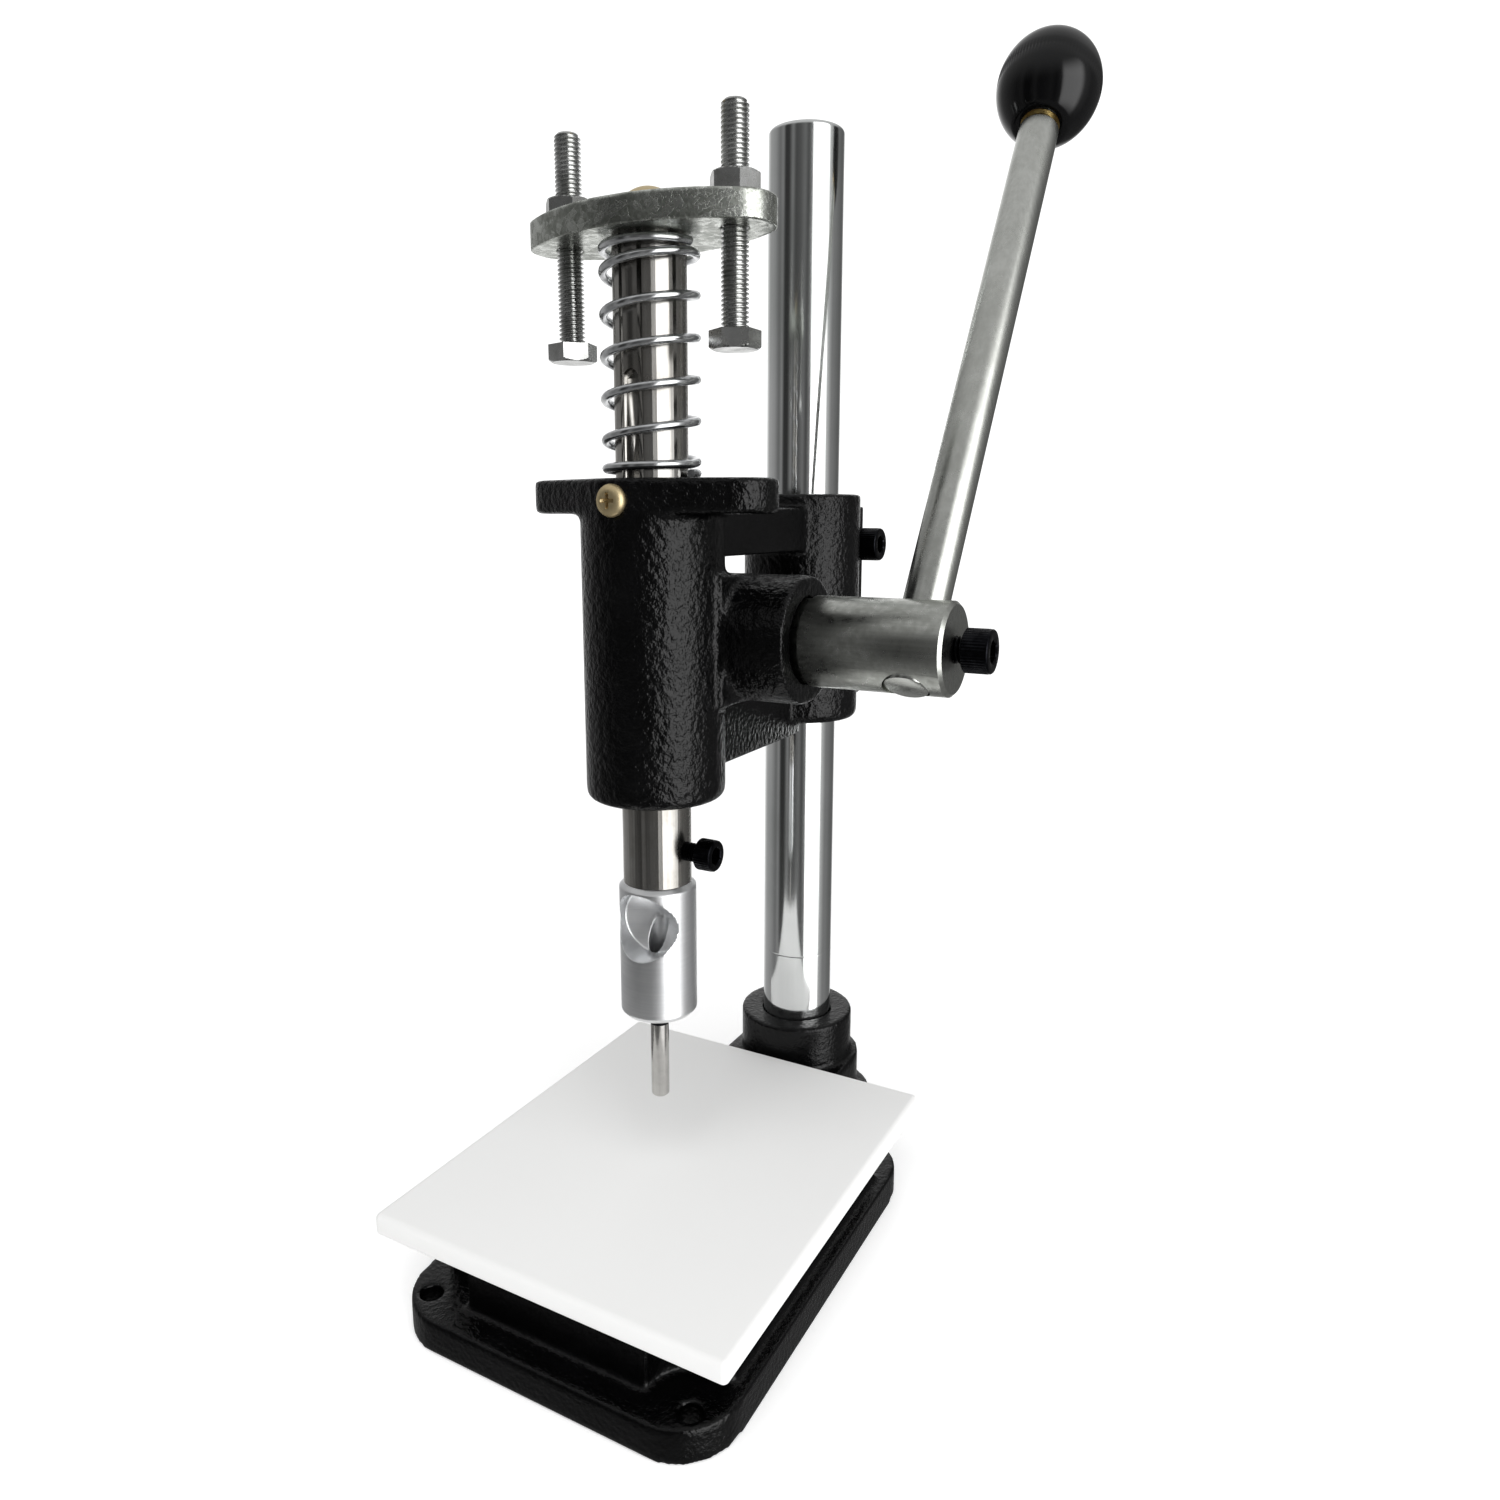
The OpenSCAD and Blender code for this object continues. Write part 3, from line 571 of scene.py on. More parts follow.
class Mesh:
    """A mesh under construction, in metres, that becomes one named piece."""

    def __init__(self, name: str) -> None:
        """Starts an empty mesh with the piece's name."""
        self.name = name
        self.bm = bmesh.new()

    def turned(self, stations: Sequence[Ring], place: Matrix, segments: int = 96,
               capped: bool = True) -> "Mesh":
        """Adds a body of stacked rings round +Z.

        Args:
            stations: (height, radius) in millimetres; a radius may be a function of the angle.
            place: where the body's origin and axis go.
            segments: the number of points in a ring.
            capped: whether the first and last rings are closed by a face.

        Returns:
            This mesh.
        """
        part = bmesh.new()
        ring = bmesh.ops.create_circle(part, segments=segments, radius=1.0)["verts"]
        self._shape_ring(ring, stations[0])
        first = self._ring_edges(ring)
        edges = first
        for station in stations[1:]:
            grown = bmesh.ops.extrude_edge_only(part, edges=edges)["geom"]
            ring = [g for g in grown if isinstance(g, bmesh.types.BMVert)]
            self._shape_ring(ring, station)
            edges = self._ring_edges(ring)
        if capped:
            bmesh.ops.edgeloop_fill(part, edges=first)
            bmesh.ops.edgeloop_fill(part, edges=edges)
        else:
            bmesh.ops.remove_doubles(part, verts=part.verts, dist=1e-7)
        return self.take(part, place)

    @staticmethod
    def _shape_ring(ring: Iterable[bmesh.types.BMVert], station: Ring) -> None:
        """Moves a ring's points to a station's height and radius.

        Args:
            ring: the points.
            station: the height and the radius.
        """
        height, radius = station
        for vert in ring:
            angle = math.atan2(vert.co.y, vert.co.x)
            r = radius(angle) if callable(radius) else radius
            vert.co = Vector((math.cos(angle) * r, math.sin(angle) * r, height)) * MM

    @staticmethod
    def _ring_edges(ring: Sequence[bmesh.types.BMVert]) -> list[bmesh.types.BMEdge]:
        """The edges that join a ring's own points."""
        members = set(ring)
        return list({e for v in ring for e in v.link_edges if e.other_vert(v) in members})

    def take(self, part: bmesh.types.BMesh, place: Matrix) -> "Mesh":
        """Adds a finished part at its place, with its faces outwards.

        Args:
            part: the part, which is freed.
            place: where it goes.

        Returns:
            This mesh.
        """
        bmesh.ops.recalc_face_normals(part, faces=part.faces)
        part.transform(place)
        data = bpy.data.meshes.new("part")
        part.to_mesh(data)
        part.free()
        self.bm.from_mesh(data)
        bpy.data.meshes.remove(data)
        return self

    def threaded(self, radius: float, pitch: float, length: float, place: Matrix, steps: int = 20) -> "Mesh":
        """Adds a rod with a real helical thread and a chamfered end.

        Args:
            radius: the outer radius in millimetres.
            pitch: the height of one turn in millimetres.
            length: the length in millimetres, from the place along its +Z.
            place: where the rod starts.
            steps: the number of points in a turn.

        Returns:
            This mesh.
        """
        part = bmesh.new()
        root = radius - DEPTH_PER_PITCH * pitch
        profile = [(root, 0.0), (root, 0.14), (radius, 0.46), (radius, 0.58), (root, 0.9), (root, 1.0)]
        verts = [part.verts.new(Vector((r, 0.0, (t - 1.5) * pitch)) * MM) for r, t in profile]
        edges = [part.edges.new(pair) for pair in zip(verts, verts[1:])]
        turns = math.ceil(length / pitch) + 3
        rise = Vector((0.0, 0.0, pitch / steps * MM))
        bmesh.ops.spin(part, geom=verts + edges, cent=(0, 0, 0), axis=(0, 0, 1), dvec=rise,
                       angle=TAU * turns, steps=steps * turns, use_merge=False, use_duplicate=False)
        bmesh.ops.remove_doubles(part, verts=part.verts, dist=1e-6)
        for height, side in ((0.0, -1), (length, 1)):
            everything = part.verts[:] + part.edges[:] + part.faces[:]
            cut = bmesh.ops.bisect_plane(part, geom=everything, dist=1e-8, plane_co=(0, 0, height * MM),
                                         plane_no=(0, 0, side), clear_outer=True)
            rim = [g for g in cut["geom_cut"] if isinstance(g, bmesh.types.BMEdge)]
            bmesh.ops.edgeloop_fill(part, edges=rim)
        for vert in part.verts:
            limit = (root - 0.2 + max(0.0, length - vert.co.z / MM)) * MM
            reach = vert.co.xy.length
            if reach > limit:
                vert.co.xy *= limit / reach
        return self.take(part, place)

    def copied(self, node: str) -> "Mesh":
        """Adds a merged copy of a CAD node.

        Args:
            node: the CAD node.

        Returns:
            This mesh.
        """
        part = bmesh.new()
        part.from_mesh(frame["nodes"][node].data)
        bmesh.ops.remove_doubles(part, verts=part.verts, dist=1e-6)
        return self.take(part, Matrix())

    def object(self, body: Body, finish: Finish, nodes: Sequence[str] = (),
               crease: float = 32.0) -> bpy.types.Object:
        """Makes the piece, dresses it and puts it on its body.

        Args:
            body: the body that it rides on.
            finish: its finish.
            nodes: the CAD nodes that it stands for.
            crease: the least angle between faces that stays a hard edge, in degrees.

        Returns:
            The piece.
        """
        data = bpy.data.meshes.new(self.name)
        self.bm.to_mesh(data)
        self.bm.free()
        data.shade_smooth()
        data.set_sharp_from_angle(angle=math.radians(crease))
        piece = bpy.data.objects.new(self.name, data)
        bpy.context.scene.collection.objects.link(piece)
        return dress(piece, body, finish, nodes)


def dress(piece: bpy.types.Object, body: Body, finish: Finish, nodes: Sequence[str] = ()) -> bpy.types.Object:
    """Gives a piece its finish and its body, and hides the CAD nodes that it stands for.

    Args:
        piece: the piece.
        body: the body that it rides on.
        finish: its finish.
        nodes: the CAD nodes that it replaces.

    Returns:
        The piece.
    """
    piece.data.materials.clear()
    piece.data.materials.append(finish.material())
    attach(piece, body.value)
    if nodes:
        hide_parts(*nodes)
    LOG.info("%s: %d faces on %s", piece.name, len(piece.data.polygons), body.value)
    return piece


def dress_node(node: str, finish: Finish) -> None:
    """Gives a CAD node that stays a better material.

    Args:
        node: the CAD node.
        finish: its finish.
    """
    for slot in frame["nodes"][node].material_slots:
        slot.material = finish.material()
    LOG.info("%s keeps its CAD shape", node)


def low(node: str) -> Vector:
    """The lowest corner of a CAD node, in millimetres."""
    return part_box(node)[0] / MM


def high(node: str) -> Vector:
    """The highest corner of a CAD node, in millimetres."""
    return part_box(node)[1] / MM


def middle(node: str) -> Vector:
    """The middle of a CAD node's box, in millimetres."""
    return (low(node) + high(node)) / 2


# ---------- sub-assemblies ----------


@dataclass
class Casting:
    """A piece with soft edges: the CAD shape with its edges rounded and its corners filled.

    The voxel is the size of the remeshed faces in millimetres, and rounding is how often they are smoothed.
    """

    node: str
    body: Body
    finish: Finish
    voxel: float
    rounding: int

    def build(self) -> bpy.types.Object:
        """Remeshes a copy of the CAD node and smooths it.

        Returns:
            The casting.
        """
        name = self.node + "_cast"
        mesh = Mesh(name).copied(self.node)
        data = bpy.data.meshes.new(name)
        mesh.bm.to_mesh(data)
        mesh.bm.free()
        rough = bpy.data.objects.new("rough_casting", data)
        bpy.context.scene.collection.objects.link(rough)
        remesh = rough.modifiers.new("skin", "REMESH")
        remesh.mode = "VOXEL"
        remesh.voxel_size = self.voxel * MM
        smooth = rough.modifiers.new("round", "SMOOTH")
        smooth.factor = 0.5
        smooth.iterations = self.rounding
        bpy.context.view_layer.update()
        shaped = bpy.data.meshes.new_from_object(rough.evaluated_get(bpy.context.evaluated_depsgraph_get()))
        bpy.data.objects.remove(rough)
        shaped.name = name
        shaped.shade_smooth()
        piece = bpy.data.objects.new(name, shaped)
        bpy.context.scene.collection.objects.link(piece)
        return dress(piece, self.body, self.finish, [self.node])


@dataclass
class CapScrew:
    """A socket head cap screw that faces +X."""

    node: str
    body: Body
    thread_r: float
    head_r: float
    head_h: float
    socket: float
    pitch: float
    teeth: int

    def build(self) -> bpy.types.Object:
        """Builds the threaded shank and the knurled head with its hexagon socket.

        Returns:
            The screw.
        """
        lo, hi = low(self.node), high(self.node)
        centre = (lo + hi) / 2
        seat = hi.x - self.head_h
        r, h = self.head_r, self.head_h
        ribs = knurled(r, self.teeth, 0.14)
        rings = [(0.0, r - 0.4), (0.3, ribs), (h - 1.1, ribs), (h - 0.9, r - 0.06), (h - 0.45, r - 0.1),
                 (h - 0.12, r - 0.35), (h, r - 0.7), (h, self.socket / 2 * 1.24),
                 (h - 0.35, hexagon(self.socket * 1.02)), (h * 0.42, hexagon(self.socket))]
        mesh = Mesh(self.node.replace("screw", "socket_screw"))
        mesh.turned(rings, facing_right(seat, centre.y, centre.z), self.teeth * 4)
        shank = seat - lo.x
        back = facing_right(seat, centre.y, centre.z) @ Matrix.Rotation(math.pi, 4, "X")
        mesh.threaded(self.thread_r, self.pitch, shank, back)
        return mesh.object(self.body, OXIDE, [self.node])


@dataclass
class Base:
    """The base casting with its board, screws and column."""

    board_corner: float = 2.0
    board_edge: float = 1.9
    column_edge: float = 1.6
    score_height: float = 27.0

    def build(self) -> None:
        """Builds every piece that stands on the bench."""
        Casting("base_casting", Body.BASE, BASE_ENAMEL, voxel=0.9, rounding=5).build()
        self.board()
        self.column()
        dress_node("board_screws", ZINC)
        dress_node("column_grub_screw", OXIDE)

    def board(self) -> bpy.types.Object:
        """The white board: a slab with rounded corners and well-rounded edges.

        Returns:
            The board.
        """
        lo, hi = low("cutting_board"), high("cutting_board")
        part = bmesh.new()
        bmesh.ops.create_cube(part, size=1.0)
        bmesh.ops.scale(part, vec=(hi - lo) * MM, verts=part.verts)
        upright = [e for e in part.edges if abs(e.verts[0].co.z - e.verts[1].co.z) > MM]
        bmesh.ops.bevel(part, geom=upright, offset=self.board_corner * MM, offset_type="OFFSET", segments=8,
                        profile=0.5, affect="EDGES", material=-1)
        rims = [e for e in part.edges if len(e.link_faces) == 2 and e.calc_face_angle(0) > 1.2]
        bmesh.ops.bevel(part, geom=rims, offset=self.board_edge * MM, offset_type="OFFSET", segments=5,
                        profile=0.5, affect="EDGES", material=-1)
        mesh = Mesh("white_cutting_board")
        mesh.take(part, at(*((lo + hi) / 2)))
        return mesh.object(Body.BASE, BOARD_WHITE, ["cutting_board"], crease=60)

    def column(self) -> bpy.types.Object:
        """The chromed column, with a rounded top edge and one faint scored ring near its foot.

        Returns:
            The column.
        """
        lo, hi = low("column"), high("column")
        r, height, e = (hi.x - lo.x) / 2, hi.z - lo.z, self.column_edge
        score = high("base_casting").z + self.score_height - lo.z
        top = [(height - e * (1 - math.sin(a)), r - e * (1 - math.cos(a)))
               for a in (TAU / 4 * i / 6 for i in range(7))]
        rings = [(0.0, r - 1), (1.0, r), (1.2, r), (score - 0.2, r), (score, r), (score + 0.2, r - 0.06),
                 (score + 0.4, r), (score + 0.6, r), (height - e - 0.3, r)]
        centre = middle("column")
        mesh = Mesh("chromed_column").turned(rings + top, at(centre.x, centre.y, lo.z), 128)
        return mesh.object(Body.COLUMN, CHROME, ["column"])


@dataclass
class Ram:
    """The ram with its guide screw, return spring, stop plate, stop bolts and lock nuts."""

    thread_pitch: float = 1.25
    wire: float = 2.6
    open_turns: int = 5
    points_per_turn: int = 40

    def build(self) -> None:
        """Builds every piece round the ram."""
        self.bar()
        self.guide_screw()
        self.top_screw()
        self.spring()
        Casting("stop_plate", Body.RAM, GALVANISED, voxel=0.5, rounding=3).build()
        self.stop_bolt("stop_bolt_left", Body.STOP_LEFT, 45.0)
        self.stop_bolt("stop_bolt_right", Body.STOP_RIGHT, 29.0)
        self.lock_nut("lock_nut_left", 15.0)
        self.lock_nut("lock_nut_right", 8.6)
        CapScrew("tool_set_screw", Body.TOOL_LOCK, **M6_CAP).build()

    def bar(self) -> bpy.types.Object:
        """The ground ram with its rack, guide slot and socket."""
        return Mesh("ground_ram").copied("ram").object(Body.RAM, GROUND, ["ram"], crease=25)

    def guide_screw(self) -> bpy.types.Object:
        """The domed cross-head screw in the front of the flange.

        Returns:
            The screw.
        """
        lo, hi = low("ram_guide_screw"), high("ram_guide_screw")
        r, centre = (hi.x - lo.x) / 2, (lo + hi) / 2
        tool = cross(2.3, 0.55)
        rings = [(0.0, r - 0.1), (0.25, r), (1.0, r), (1.7, r * 0.94), (2.3, r * 0.82), (2.75, r * 0.64),
                 (2.9, lambda a: max(tool(a) + 0.25, r * 0.5)), (2.85, tool), (1.1, lambda a: tool(a) * 0.6)]
        seat = facing_front(centre.x, lo.y + 3.0, centre.z)
        mesh = Mesh("cross_head_guide_screw").turned(rings, seat, 96)
        mesh.turned([(0.05, 2.5), (-(hi.y - lo.y - 3.0), 2.5)], seat, 32)
        return mesh.object(Body.HEAD, YELLOW, ["ram_guide_screw"], crease=40)

    def top_screw(self) -> bpy.types.Object:
        """The domed screw that holds the stop plate on the ram.

        Returns:
            The screw.
        """
        lo, hi, seat = low("ram_top_screw"), high("ram_top_screw"), high("stop_plate").z
        r, h, centre = (hi.x - lo.x) / 2, hi.z - seat, (lo + hi) / 2
        dome_r, shoulder = r * 1.2, 0.35
        dome = [(h - dome_r * (1 - math.cos(a)), dome_r * math.sin(a))
                for a in (math.asin((r - shoulder) / dome_r) * (1 - i / 12) for i in range(9))]
        rings = [(0.0, r - 0.3), (0.3, r), (dome[0][0] - 0.5, r), (dome[0][0] - 0.15, r - 0.1)] + dome
        rings += [(dome[-1][0], 2.95), (dome[-1][0] - 0.35, hexagon(5.0)), (h - 3.5, hexagon(5.0))]
        place = at(centre.x, centre.y, seat)
        mesh = Mesh("domed_top_screw").turned(rings, place, 96)
        mesh.turned([(0.1, 3.0), (lo.z - seat, 3.0)], place, 32)
        return mesh.object(Body.RAM, YELLOW, ["ram_top_screw"], crease=40)

    def spring_height(self, turn: float, bottom: float, top: float) -> float:
        """The height of the wire's centre in millimetres after a number of turns, closed at each end.

        Args:
            turn: the number of turns from the bottom end.
            bottom: the height of the first point.
            top: the height of the last point.

        Returns:
            The height in millimetres.
        """
        closed = self.wire * 1.03
        rise = (top - bottom - 2 * closed) / self.open_turns
        if turn < 1:
            return bottom + closed * turn
        if turn > self.open_turns + 1:
            return top - closed * (self.open_turns + 2 - turn)
        return bottom + closed + rise * (turn - 1)

    def spring(self) -> bpy.types.Object:
        """The round-wire return spring.

        Returns:
            The spring.
        """
        lo, hi, axis = low("return_spring"), high("return_spring"), middle("return_spring")
        bottom, top = lo.z + self.wire / 2, hi.z - self.wire / 2
        mean_r = (hi.x - lo.x - self.wire) / 2
        count = (self.open_turns + 2) * self.points_per_turn
        line = bpy.data.curves.new("spring_line", "CURVE")
        line.dimensions = "3D"
        line.bevel_depth = self.wire / 2 * MM
        line.bevel_resolution = 3
        line.use_fill_caps = True
        spline = line.splines.new("POLY")
        spline.points.add(count)
        for i, point in enumerate(spline.points):
            turn = i / self.points_per_turn
            angle = TAU * turn
            place = Vector((axis.x + mean_r * math.cos(angle), axis.y + mean_r * math.sin(angle),
                            self.spring_height(turn, bottom, top)))
            point.co = (*(place * MM), 1.0)
        wire = bpy.data.objects.new("spring_line", line)
        bpy.context.scene.collection.objects.link(wire)
        bpy.context.view_layer.update()
        data = bpy.data.meshes.new_from_object(wire.evaluated_get(bpy.context.evaluated_depsgraph_get()))
        bpy.data.objects.remove(wire)
        data.name = "coil_return_spring"
        data.shade_smooth()
        piece = bpy.data.objects.new("coil_return_spring", data)
        bpy.context.scene.collection.objects.link(piece)
        dress(piece, Body.HEAD, SPRING_STEEL, ["return_spring"])
        stroke = next(j for j in frame["joints"] if j["name"] == "ram_slide")["range_m"][1]
        length = (hi.z - lo.z) * MM
        (length - stroke) / length
        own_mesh(piece)
        return piece

    def stop_bolt(self, node: str, body: Body, turn: float) -> bpy.types.Object:
        """A hexagon bolt with its head down and a real thread.

        Args:
            node: the CAD node.
            body: the body that it rides on.
            turn: how far its head is turned from a corner on +X, in degrees.

        Returns:
            The bolt.
        """
        lo, hi, centre = low(node), high(node), middle(node)
        flats = hi.y - lo.y
        head = flats * HEAD_PER_THREAD / FLATS_PER_THREAD
        place = at(centre.x, centre.y, lo.z) @ Matrix.Rotation(math.radians(turn), 4, "Z")
        mesh = Mesh(node.replace("stop_bolt", "threaded_stop_bolt"))
        mesh.turned(hex_stations(flats, head, True, False), place, 96)
        mesh.threaded(flats / FLATS_PER_THREAD / 2, self.thread_pitch, hi.z - lo.z - head + 0.3,
                      at(centre.x, centre.y, lo.z + head - 0.3))
        return mesh.object(body, ZINC, [node], crease=24)

    def lock_nut(self, node: str, turn: float) -> bpy.types.Object:
        """A hexagon lock nut with coned corners.

        Args:
            node: the CAD node.
            turn: how far it is turned from a corner on +X, in degrees.

        Returns:
            The nut.
        """
        lo, hi, centre = low(node), high(node), middle(node)
        flats, height = hi.y - lo.y, hi.z - lo.z
        bore = flats / FLATS_PER_THREAD / 2 + THREAD_PLAY
        rings = hex_stations(flats, height, True, True)
        hole = [(height, bore + 0.7), (height - 0.7, bore), (0.7, bore), (0.0, bore + 0.7)]
        mesh = Mesh(node.replace("lock", "hexagon_lock"))
        place = at(centre.x, centre.y, lo.z) @ Matrix.Rotation(math.radians(turn), 4, "Z")
        mesh.turned(rings + hole + rings[:1], place, 96, capped=False)
        return mesh.object(Body.RAM, ZINC, [node], crease=24)


@dataclass
class Head:
    """The head casting with the screws that clamp it on the column."""

    def build(self) -> None:
        """Builds the head and its clamp screws."""
        Casting("head_casting", Body.HEAD, HEAD_ENAMEL, voxel=1.0, rounding=10).build()
        CapScrew("head_clamp_screw_upper", Body.UPPER_CLAMP, **M8_CAP).build()
        CapScrew("head_clamp_screw_lower", Body.LOWER_CLAMP, **M8_CAP).build()


def lean_of_handle() -> float:
    """The handle's lean behind the vertical at rest, in radians, from where its knob and hub are."""
    shaft, knob = middle("pinion_shaft"), middle("handle_knob")
    return math.atan2(knob.y - shaft.y, knob.z - shaft.z)


@dataclass
class Lever:
    """The pinion shaft with its hub, the handle rod and its knob."""

    rib_count: int = 96
    rib_depth: float = 0.35
    egg_below: float = 1.2
    egg_above: float = 1.12
    spigot: float = 19.0
    lean: float = field(default_factory=lean_of_handle)

    def build(self) -> None:
        """Builds the hub, rod and knob."""
        shaft = Mesh("turned_pinion_shaft").copied("pinion_shaft")
        shaft.object(Body.PINION, HUB_ZINC, ["pinion_shaft"], crease=25)
        dress_node("pinion_washer", ZINC)
        dress_node("pinion_end_screw", ZINC)
        dress_node("knob_insert", BRASS)
        CapScrew("hub_lock_screw", Body.HUB_LOCK, **M8_CAP).build()
        self.rod()
        self.knob()

    def along_rod(self, distance: float) -> Matrix:
        """A place on the rod's axis, at a distance from the hub's axis towards the knob, in millimetres."""
        rod, shaft = middle("handle_rod"), middle("pinion_shaft")
        return at(rod.x, shaft.y, shaft.z) @ Matrix.Rotation(-self.lean, 4, "X") @ at(0, 0, distance)

    def rod(self) -> bpy.types.Object:
        """The round handle rod with broken edges.

        Returns:
            The rod.
        """
        lo, hi, hub = low("handle_rod"), high("handle_rod"), middle("pinion_shaft")
        r = (hi.x - lo.x) / 2
        tail = (hub.z - lo.z - r * math.sin(self.lean) * 0.8) / math.cos(self.lean)
        tip = (hi.z - hub.z) / math.cos(self.lean) - 3.0
        shoulder = tail + tip - self.spigot
        rings = [(0.0, r - 1.2), (0.35, r - 0.4), (1.1, r), (shoulder, r), (shoulder + 0.5, r - 2),
                 (tail + tip - 1, r - 2)]
        mesh = Mesh("zinc_handle_rod").turned(rings, self.along_rod(-tail), 96)
        return mesh.object(Body.HANDLE, ROD_ZINC, ["handle_rod"])

    def knob(self) -> bpy.types.Object:
        """The egg-shaped knob with a band of fine ribs round its widest place.

        Returns:
            The knob.
        """
        lo, hi = low("handle_knob"), high("handle_knob")
        r = (hi.x - lo.x) / 2
        below, above = r * self.egg_below, r * self.egg_above
        rod_r = (high("handle_rod").x - low("handle_rod").x) / 2
        neck = math.asin((rod_r + 2.5) / r)
        rings: list[Ring] = []
        steps = 40
        for i in range(steps):
            a = neck + (math.pi - neck) * i / steps
            height = -(below if a < math.pi / 2 else above) * math.cos(a)
            radius = r * math.sin(a)
            band = -0.2 * r < height < 0.02 * r
            rings.append((height, knurled(radius, self.rib_count, self.rib_depth) if band else radius))
        foot = rings[0][0]
        bore = rod_r + THREAD_PLAY
        mouth = [(foot + 1.5, bore), (foot + 0.1, bore), (foot, bore + 0.6), (foot - 0.05, bore + 1.6)]
        centre = self.knob_distance(below)
        mesh = Mesh("black_ribbed_knob").turned(mouth + rings, self.along_rod(centre), self.rib_count * 3)
        return mesh.object(Body.HANDLE, PHENOLIC, ["handle_knob"], crease=50)

    def knob_distance(self, below: float) -> float:
        """The distance of the knob's centre from the hub's axis.

        Args:
            below: the height of the half of the egg that faces the rod, in millimetres.

        Returns:
            The distance in millimetres.
        """
        shaft, knob = middle("pinion_shaft"), middle("handle_knob")
        above = below / self.egg_below * self.egg_above
        return math.hypot(knob.y - shaft.y, knob.z - shaft.z) + (below - above) * 0.25


@dataclass
class Tool:
    """The punch holder and its hollow punch."""

    punch_r: float = 3.0
    collar_drop: float = 4.8

    def build(self) -> None:
        """Builds the holder, the punch and its collar."""
        Casting("punch_holder", Body.TOOL, ALUMINIUM, voxel=0.32, rounding=2).build()
        self.punch()
        self.collar()

    def punch(self) -> bpy.types.Object:
        """The hollow punch with a ground cutting edge.

        Returns:
            The punch.
        """
        lo, hi, centre = low("hollow_punch"), high("hollow_punch"), middle("hollow_punch")
        r, length = self.punch_r, hi.z - lo.z
        bore = r * 0.6
        rings = [(0.0, bore), (0.0, r - 0.55), (0.5, r - 0.08), (0.9, r), (length - 0.3, r),
                 (length, r - 0.3), (length, bore), (0.0, bore)]
        mesh = Mesh("hollow_leather_punch").turned(rings, at(centre.x, centre.y, lo.z), 64, capped=False)
        return mesh.object(Body.TOOL, TEMPERED, ["hollow_punch"])

    def collar(self) -> bpy.types.Object:
        """The black ring round the punch, from just inside the holder's bottom to a little below it.

        Returns:
            The collar.
        """
        centre, seat = middle("hollow_punch"), low("punch_holder").z
        r, drop = (high("hollow_punch").x - low("hollow_punch").x) / 2, self.collar_drop
        inner, belly = self.punch_r, (r + self.punch_r) / 2 + 0.25
        rings = [(-drop, inner), (-drop, inner + 0.2), (-drop * 0.5, belly), (-0.1, r), (0.9, r),
                 (0.9, inner), (-drop, inner)]
        mesh = Mesh("black_punch_collar").turned(rings, at(centre.x, centre.y, seat), 64, capped=False)
        return mesh.object(Body.TOOL, OXIDE)


# ---------- studio ----------


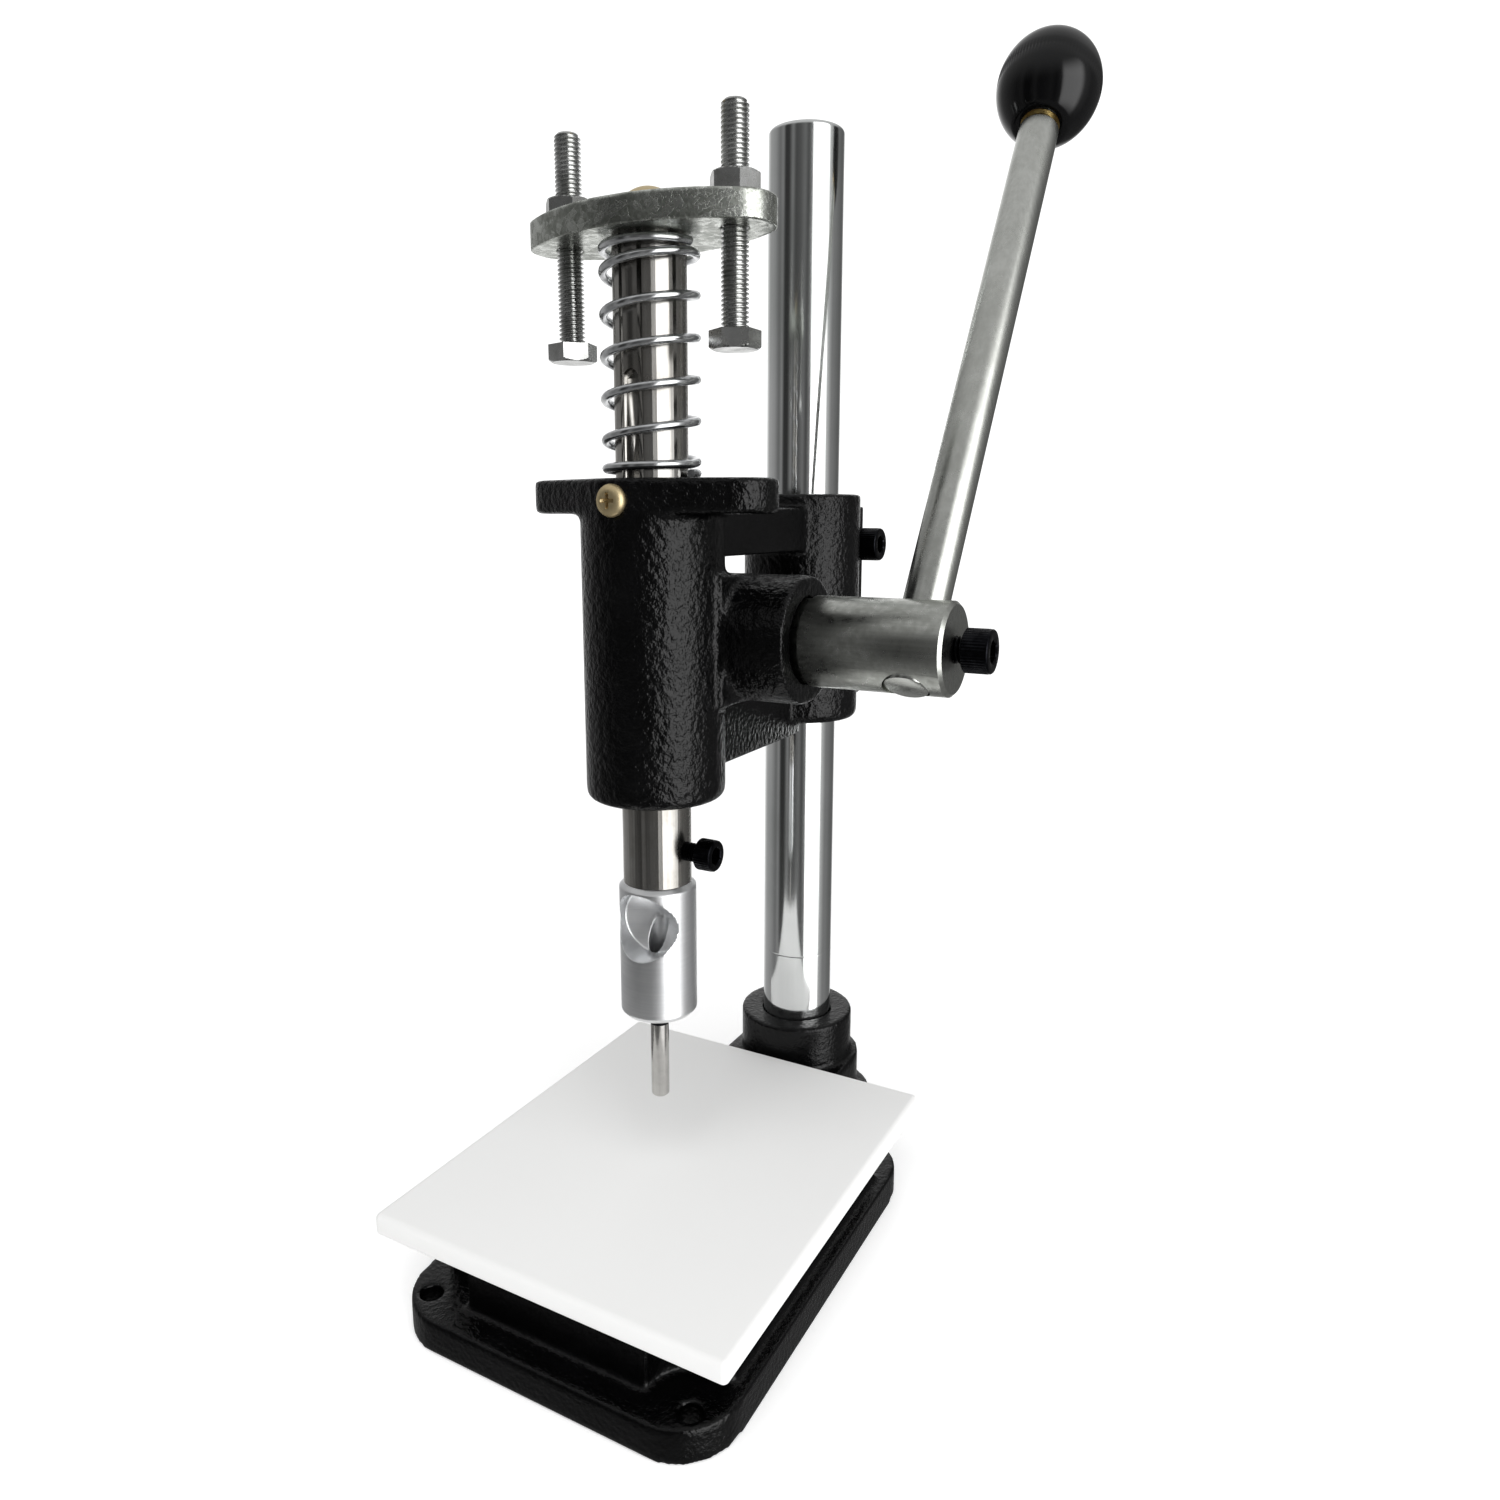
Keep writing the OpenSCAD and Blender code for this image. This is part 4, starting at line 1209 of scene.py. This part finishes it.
@dataclass
class Studio:
    """The floor, the lights and the camera."""

    camera_mm: tuple[float, float, float] = (181.1, -287.5, 254.7)
    yaw: float = 0.501
    pitch: float = 0.185
    lens: float = 25.757
    shift: tuple[float, float] = (0.0109, -0.0245)
    floor_reach: float = 3.0
    window: tuple[float, float] = (18.0, 68.0)
    window_glow: float = 7.0
    room: tuple[tuple[float, float], ...] = (
        (-180, 0.95), (-155, 0.6), (-140, 0.34), (-108, 0.26), (-88, 0.14), (-76, 0.22), (-68, 0.04),
        (-55, 0.04), (-44, 0.2), (-34, 0.07), (-20, 0.09), (-6, 0.16), (4, 0.07), (14, 0.18), (24, 0.3),
        (64, 0.3), (78, 0.4), (92, 0.2), (110, 0.17), (135, 0.12), (148, 0.14), (158, 0.6), (180, 0.95))

    def build(self) -> None:
        """Sets the whole studio up."""
        bpy.context.scene.view_settings.view_transform = "Standard"
        bpy.context.scene.view_settings.look = "Medium High Contrast"
        self.camera()
        self.floor()
        self.surround()
        self.softbox("ceiling", azimuth=-5.0, distance=0.75, height=1.3, width=1.1, tall=1.1, glow=2.0)

    def towards(self, azimuth: float, distance: float, height: float) -> Vector:
        """A point round the object.

        Args:
            azimuth: the angle to the camera's right of the line from the object to the camera, in degrees.
            distance: how far out it is, in metres.
            height: its height in metres.

        Returns:
            The point.
        """
        angle = self.yaw - math.pi / 2 + math.radians(azimuth)
        return Vector((math.cos(angle) * distance, math.sin(angle) * distance, height))

    def camera(self) -> None:
        """Places the camera."""
        data = bpy.data.cameras.new("camera")
        data.lens = self.lens
        data.sensor_width = 36.0
        data.shift_x, data.shift_y = self.shift
        data.clip_start = 0.01
        camera = bpy.data.objects.new("camera", data)
        camera.location = Vector(self.camera_mm) * MM
        camera.rotation_euler = (math.pi / 2 - self.pitch, 0.0, self.yaw)
        bpy.context.scene.collection.objects.link(camera)
        bpy.context.scene.camera = camera

    def floor(self) -> None:
        """A pale round floor that fades out into the surround, and that polished metal does not mirror."""
        part = bmesh.new()
        bmesh.ops.create_circle(part, cap_ends=True, segments=96, radius=self.floor_reach)
        data = bpy.data.meshes.new("floor")
        part.to_mesh(data)
        part.free()
        floor = bpy.data.objects.new("floor", data)
        coat = Coat("pale_floor")
        points = coat.place()
        tone = coat.noise(points, 3.0, 3.0).ramp(0.3, 0.7)
        colour = coat.mix(tone, (0.9, 0.9, 0.9), (0.93, 0.93, 0.93))
        fade = coat.length(points).ramp(0.35, self.floor_reach * 0.5, 1.0, 0.0)
        constants = {"Roughness": 0.6, "Specular IOR Level": 0.2, "Emission Color": (1.0, 1.0, 1.0),
                     "Emission Strength": 0.3}
        data.materials.append(coat.finish(constants, {"Base Color": colour, "Alpha": fade}))
        floor.visible_glossy = False
        bpy.context.scene.collection.objects.link(floor)

    def surround(self) -> None:
        """A plain white background, and a dim room with light walls and a window for the metal to mirror."""
        world = bpy.data.worlds.new("studio_surround")
        world.use_nodes = True
        graph = Graph(world.node_tree)
        looking = Value(graph, graph.node("ShaderNodeTexCoord").outputs["Generated"])
        turn = (0.0, 0.0, math.pi / 2 - self.yaw)
        facing = Value(graph, graph.node("ShaderNodeMapping", {"vector_type": "VECTOR"},
                                         {"Vector": looking, "Rotation": turn}).outputs["Vector"])
        split = graph.node("ShaderNodeSeparateXYZ", {}, {"Vector": facing})
        across, along, up = (Value(graph, output) for output in split.outputs)
        azimuth = graph.math("ARCTAN2", along, across) * (0.5 / math.pi) + 0.5
        stops = [((degrees + 180) / 360, (level,) * 3) for degrees, level in self.room]
        walls = graph.colour_ramp(azimuth, stops)
        ceiling = graph.mix(up.ramp(0.3, 0.85), walls, (0.5, 0.5, 0.5))
        around = graph.mix((up * -1.0).ramp(0.25, 0.7), ceiling, (0.2, 0.2, 0.2))
        left, right = ((degrees + 180) / 360 for degrees in self.window)
        sides = azimuth.ramp(left - 0.006, left + 0.006) * azimuth.ramp(right - 0.02, right + 0.02, 1.0, 0.0)
        opening = sides * up.ramp(-0.75, -0.35) * up.ramp(0.35, 0.75, 1.0, 0.0)
        glow = opening * self.window_glow + 1.0
        room = graph.node("ShaderNodeBackground", {}, {"Color": around, "Strength": glow})
        white = graph.node("ShaderNodeBackground", {}, {"Color": (1.0, 1.0, 1.0), "Strength": 1.0})
        seen = Value(graph, graph.node("ShaderNodeLightPath").outputs["Is Camera Ray"])
        chosen = graph.node("ShaderNodeMixShader", {}, {0: seen, 1: Value(graph, room.outputs[0]),
                                                       2: Value(graph, white.outputs[0])})
        graph.tree.links.new(chosen.outputs[0], graph.tree.nodes["World Output"].inputs["Surface"])
        bpy.context.scene.world = world

    def softbox(self, name: str, azimuth: float, distance: float, height: float, width: float, tall: float,
                glow: float) -> None:
        """Adds one soft rectangular light that faces the object.

        Args:
            name: its name.
            azimuth: the angle to the camera's right of the line from the object to the camera, in degrees.
            distance: how far out it is, in metres.
            height: the height of its middle, in metres.
            width: its width in metres.
            tall: its height in metres.
            glow: how bright its face is, where white paper in full light is 1.
        """
        data = bpy.data.lights.new(name, "AREA")
        data.shape = "RECTANGLE"
        data.size, data.size_y, data.energy = width, tall, glow * math.pi * width * tall
        lamp = bpy.data.objects.new(name, data)
        lamp.location = self.towards(azimuth, distance, height)
        aim = Vector((0.0, 0.0, 0.2))
        lamp.rotation_euler = (aim - lamp.location).to_track_quat("-Z", "Y").to_euler()
        lamp.visible_camera = False
        lamp.visible_glossy = False
        bpy.context.scene.collection.objects.link(lamp)


def main() -> None:
    """Builds the studio and every sub-assembly."""
    logging.basicConfig(level=logging.INFO, format="%(message)s")
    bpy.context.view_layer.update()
    for part in (Studio(), Base(), Head(), Ram(), Lever(), Tool()):
        LOG.info("building %s", type(part).__name__)
        part.build()
    bpy.context.view_layer.update()


if __name__ == "__main__":
    main()
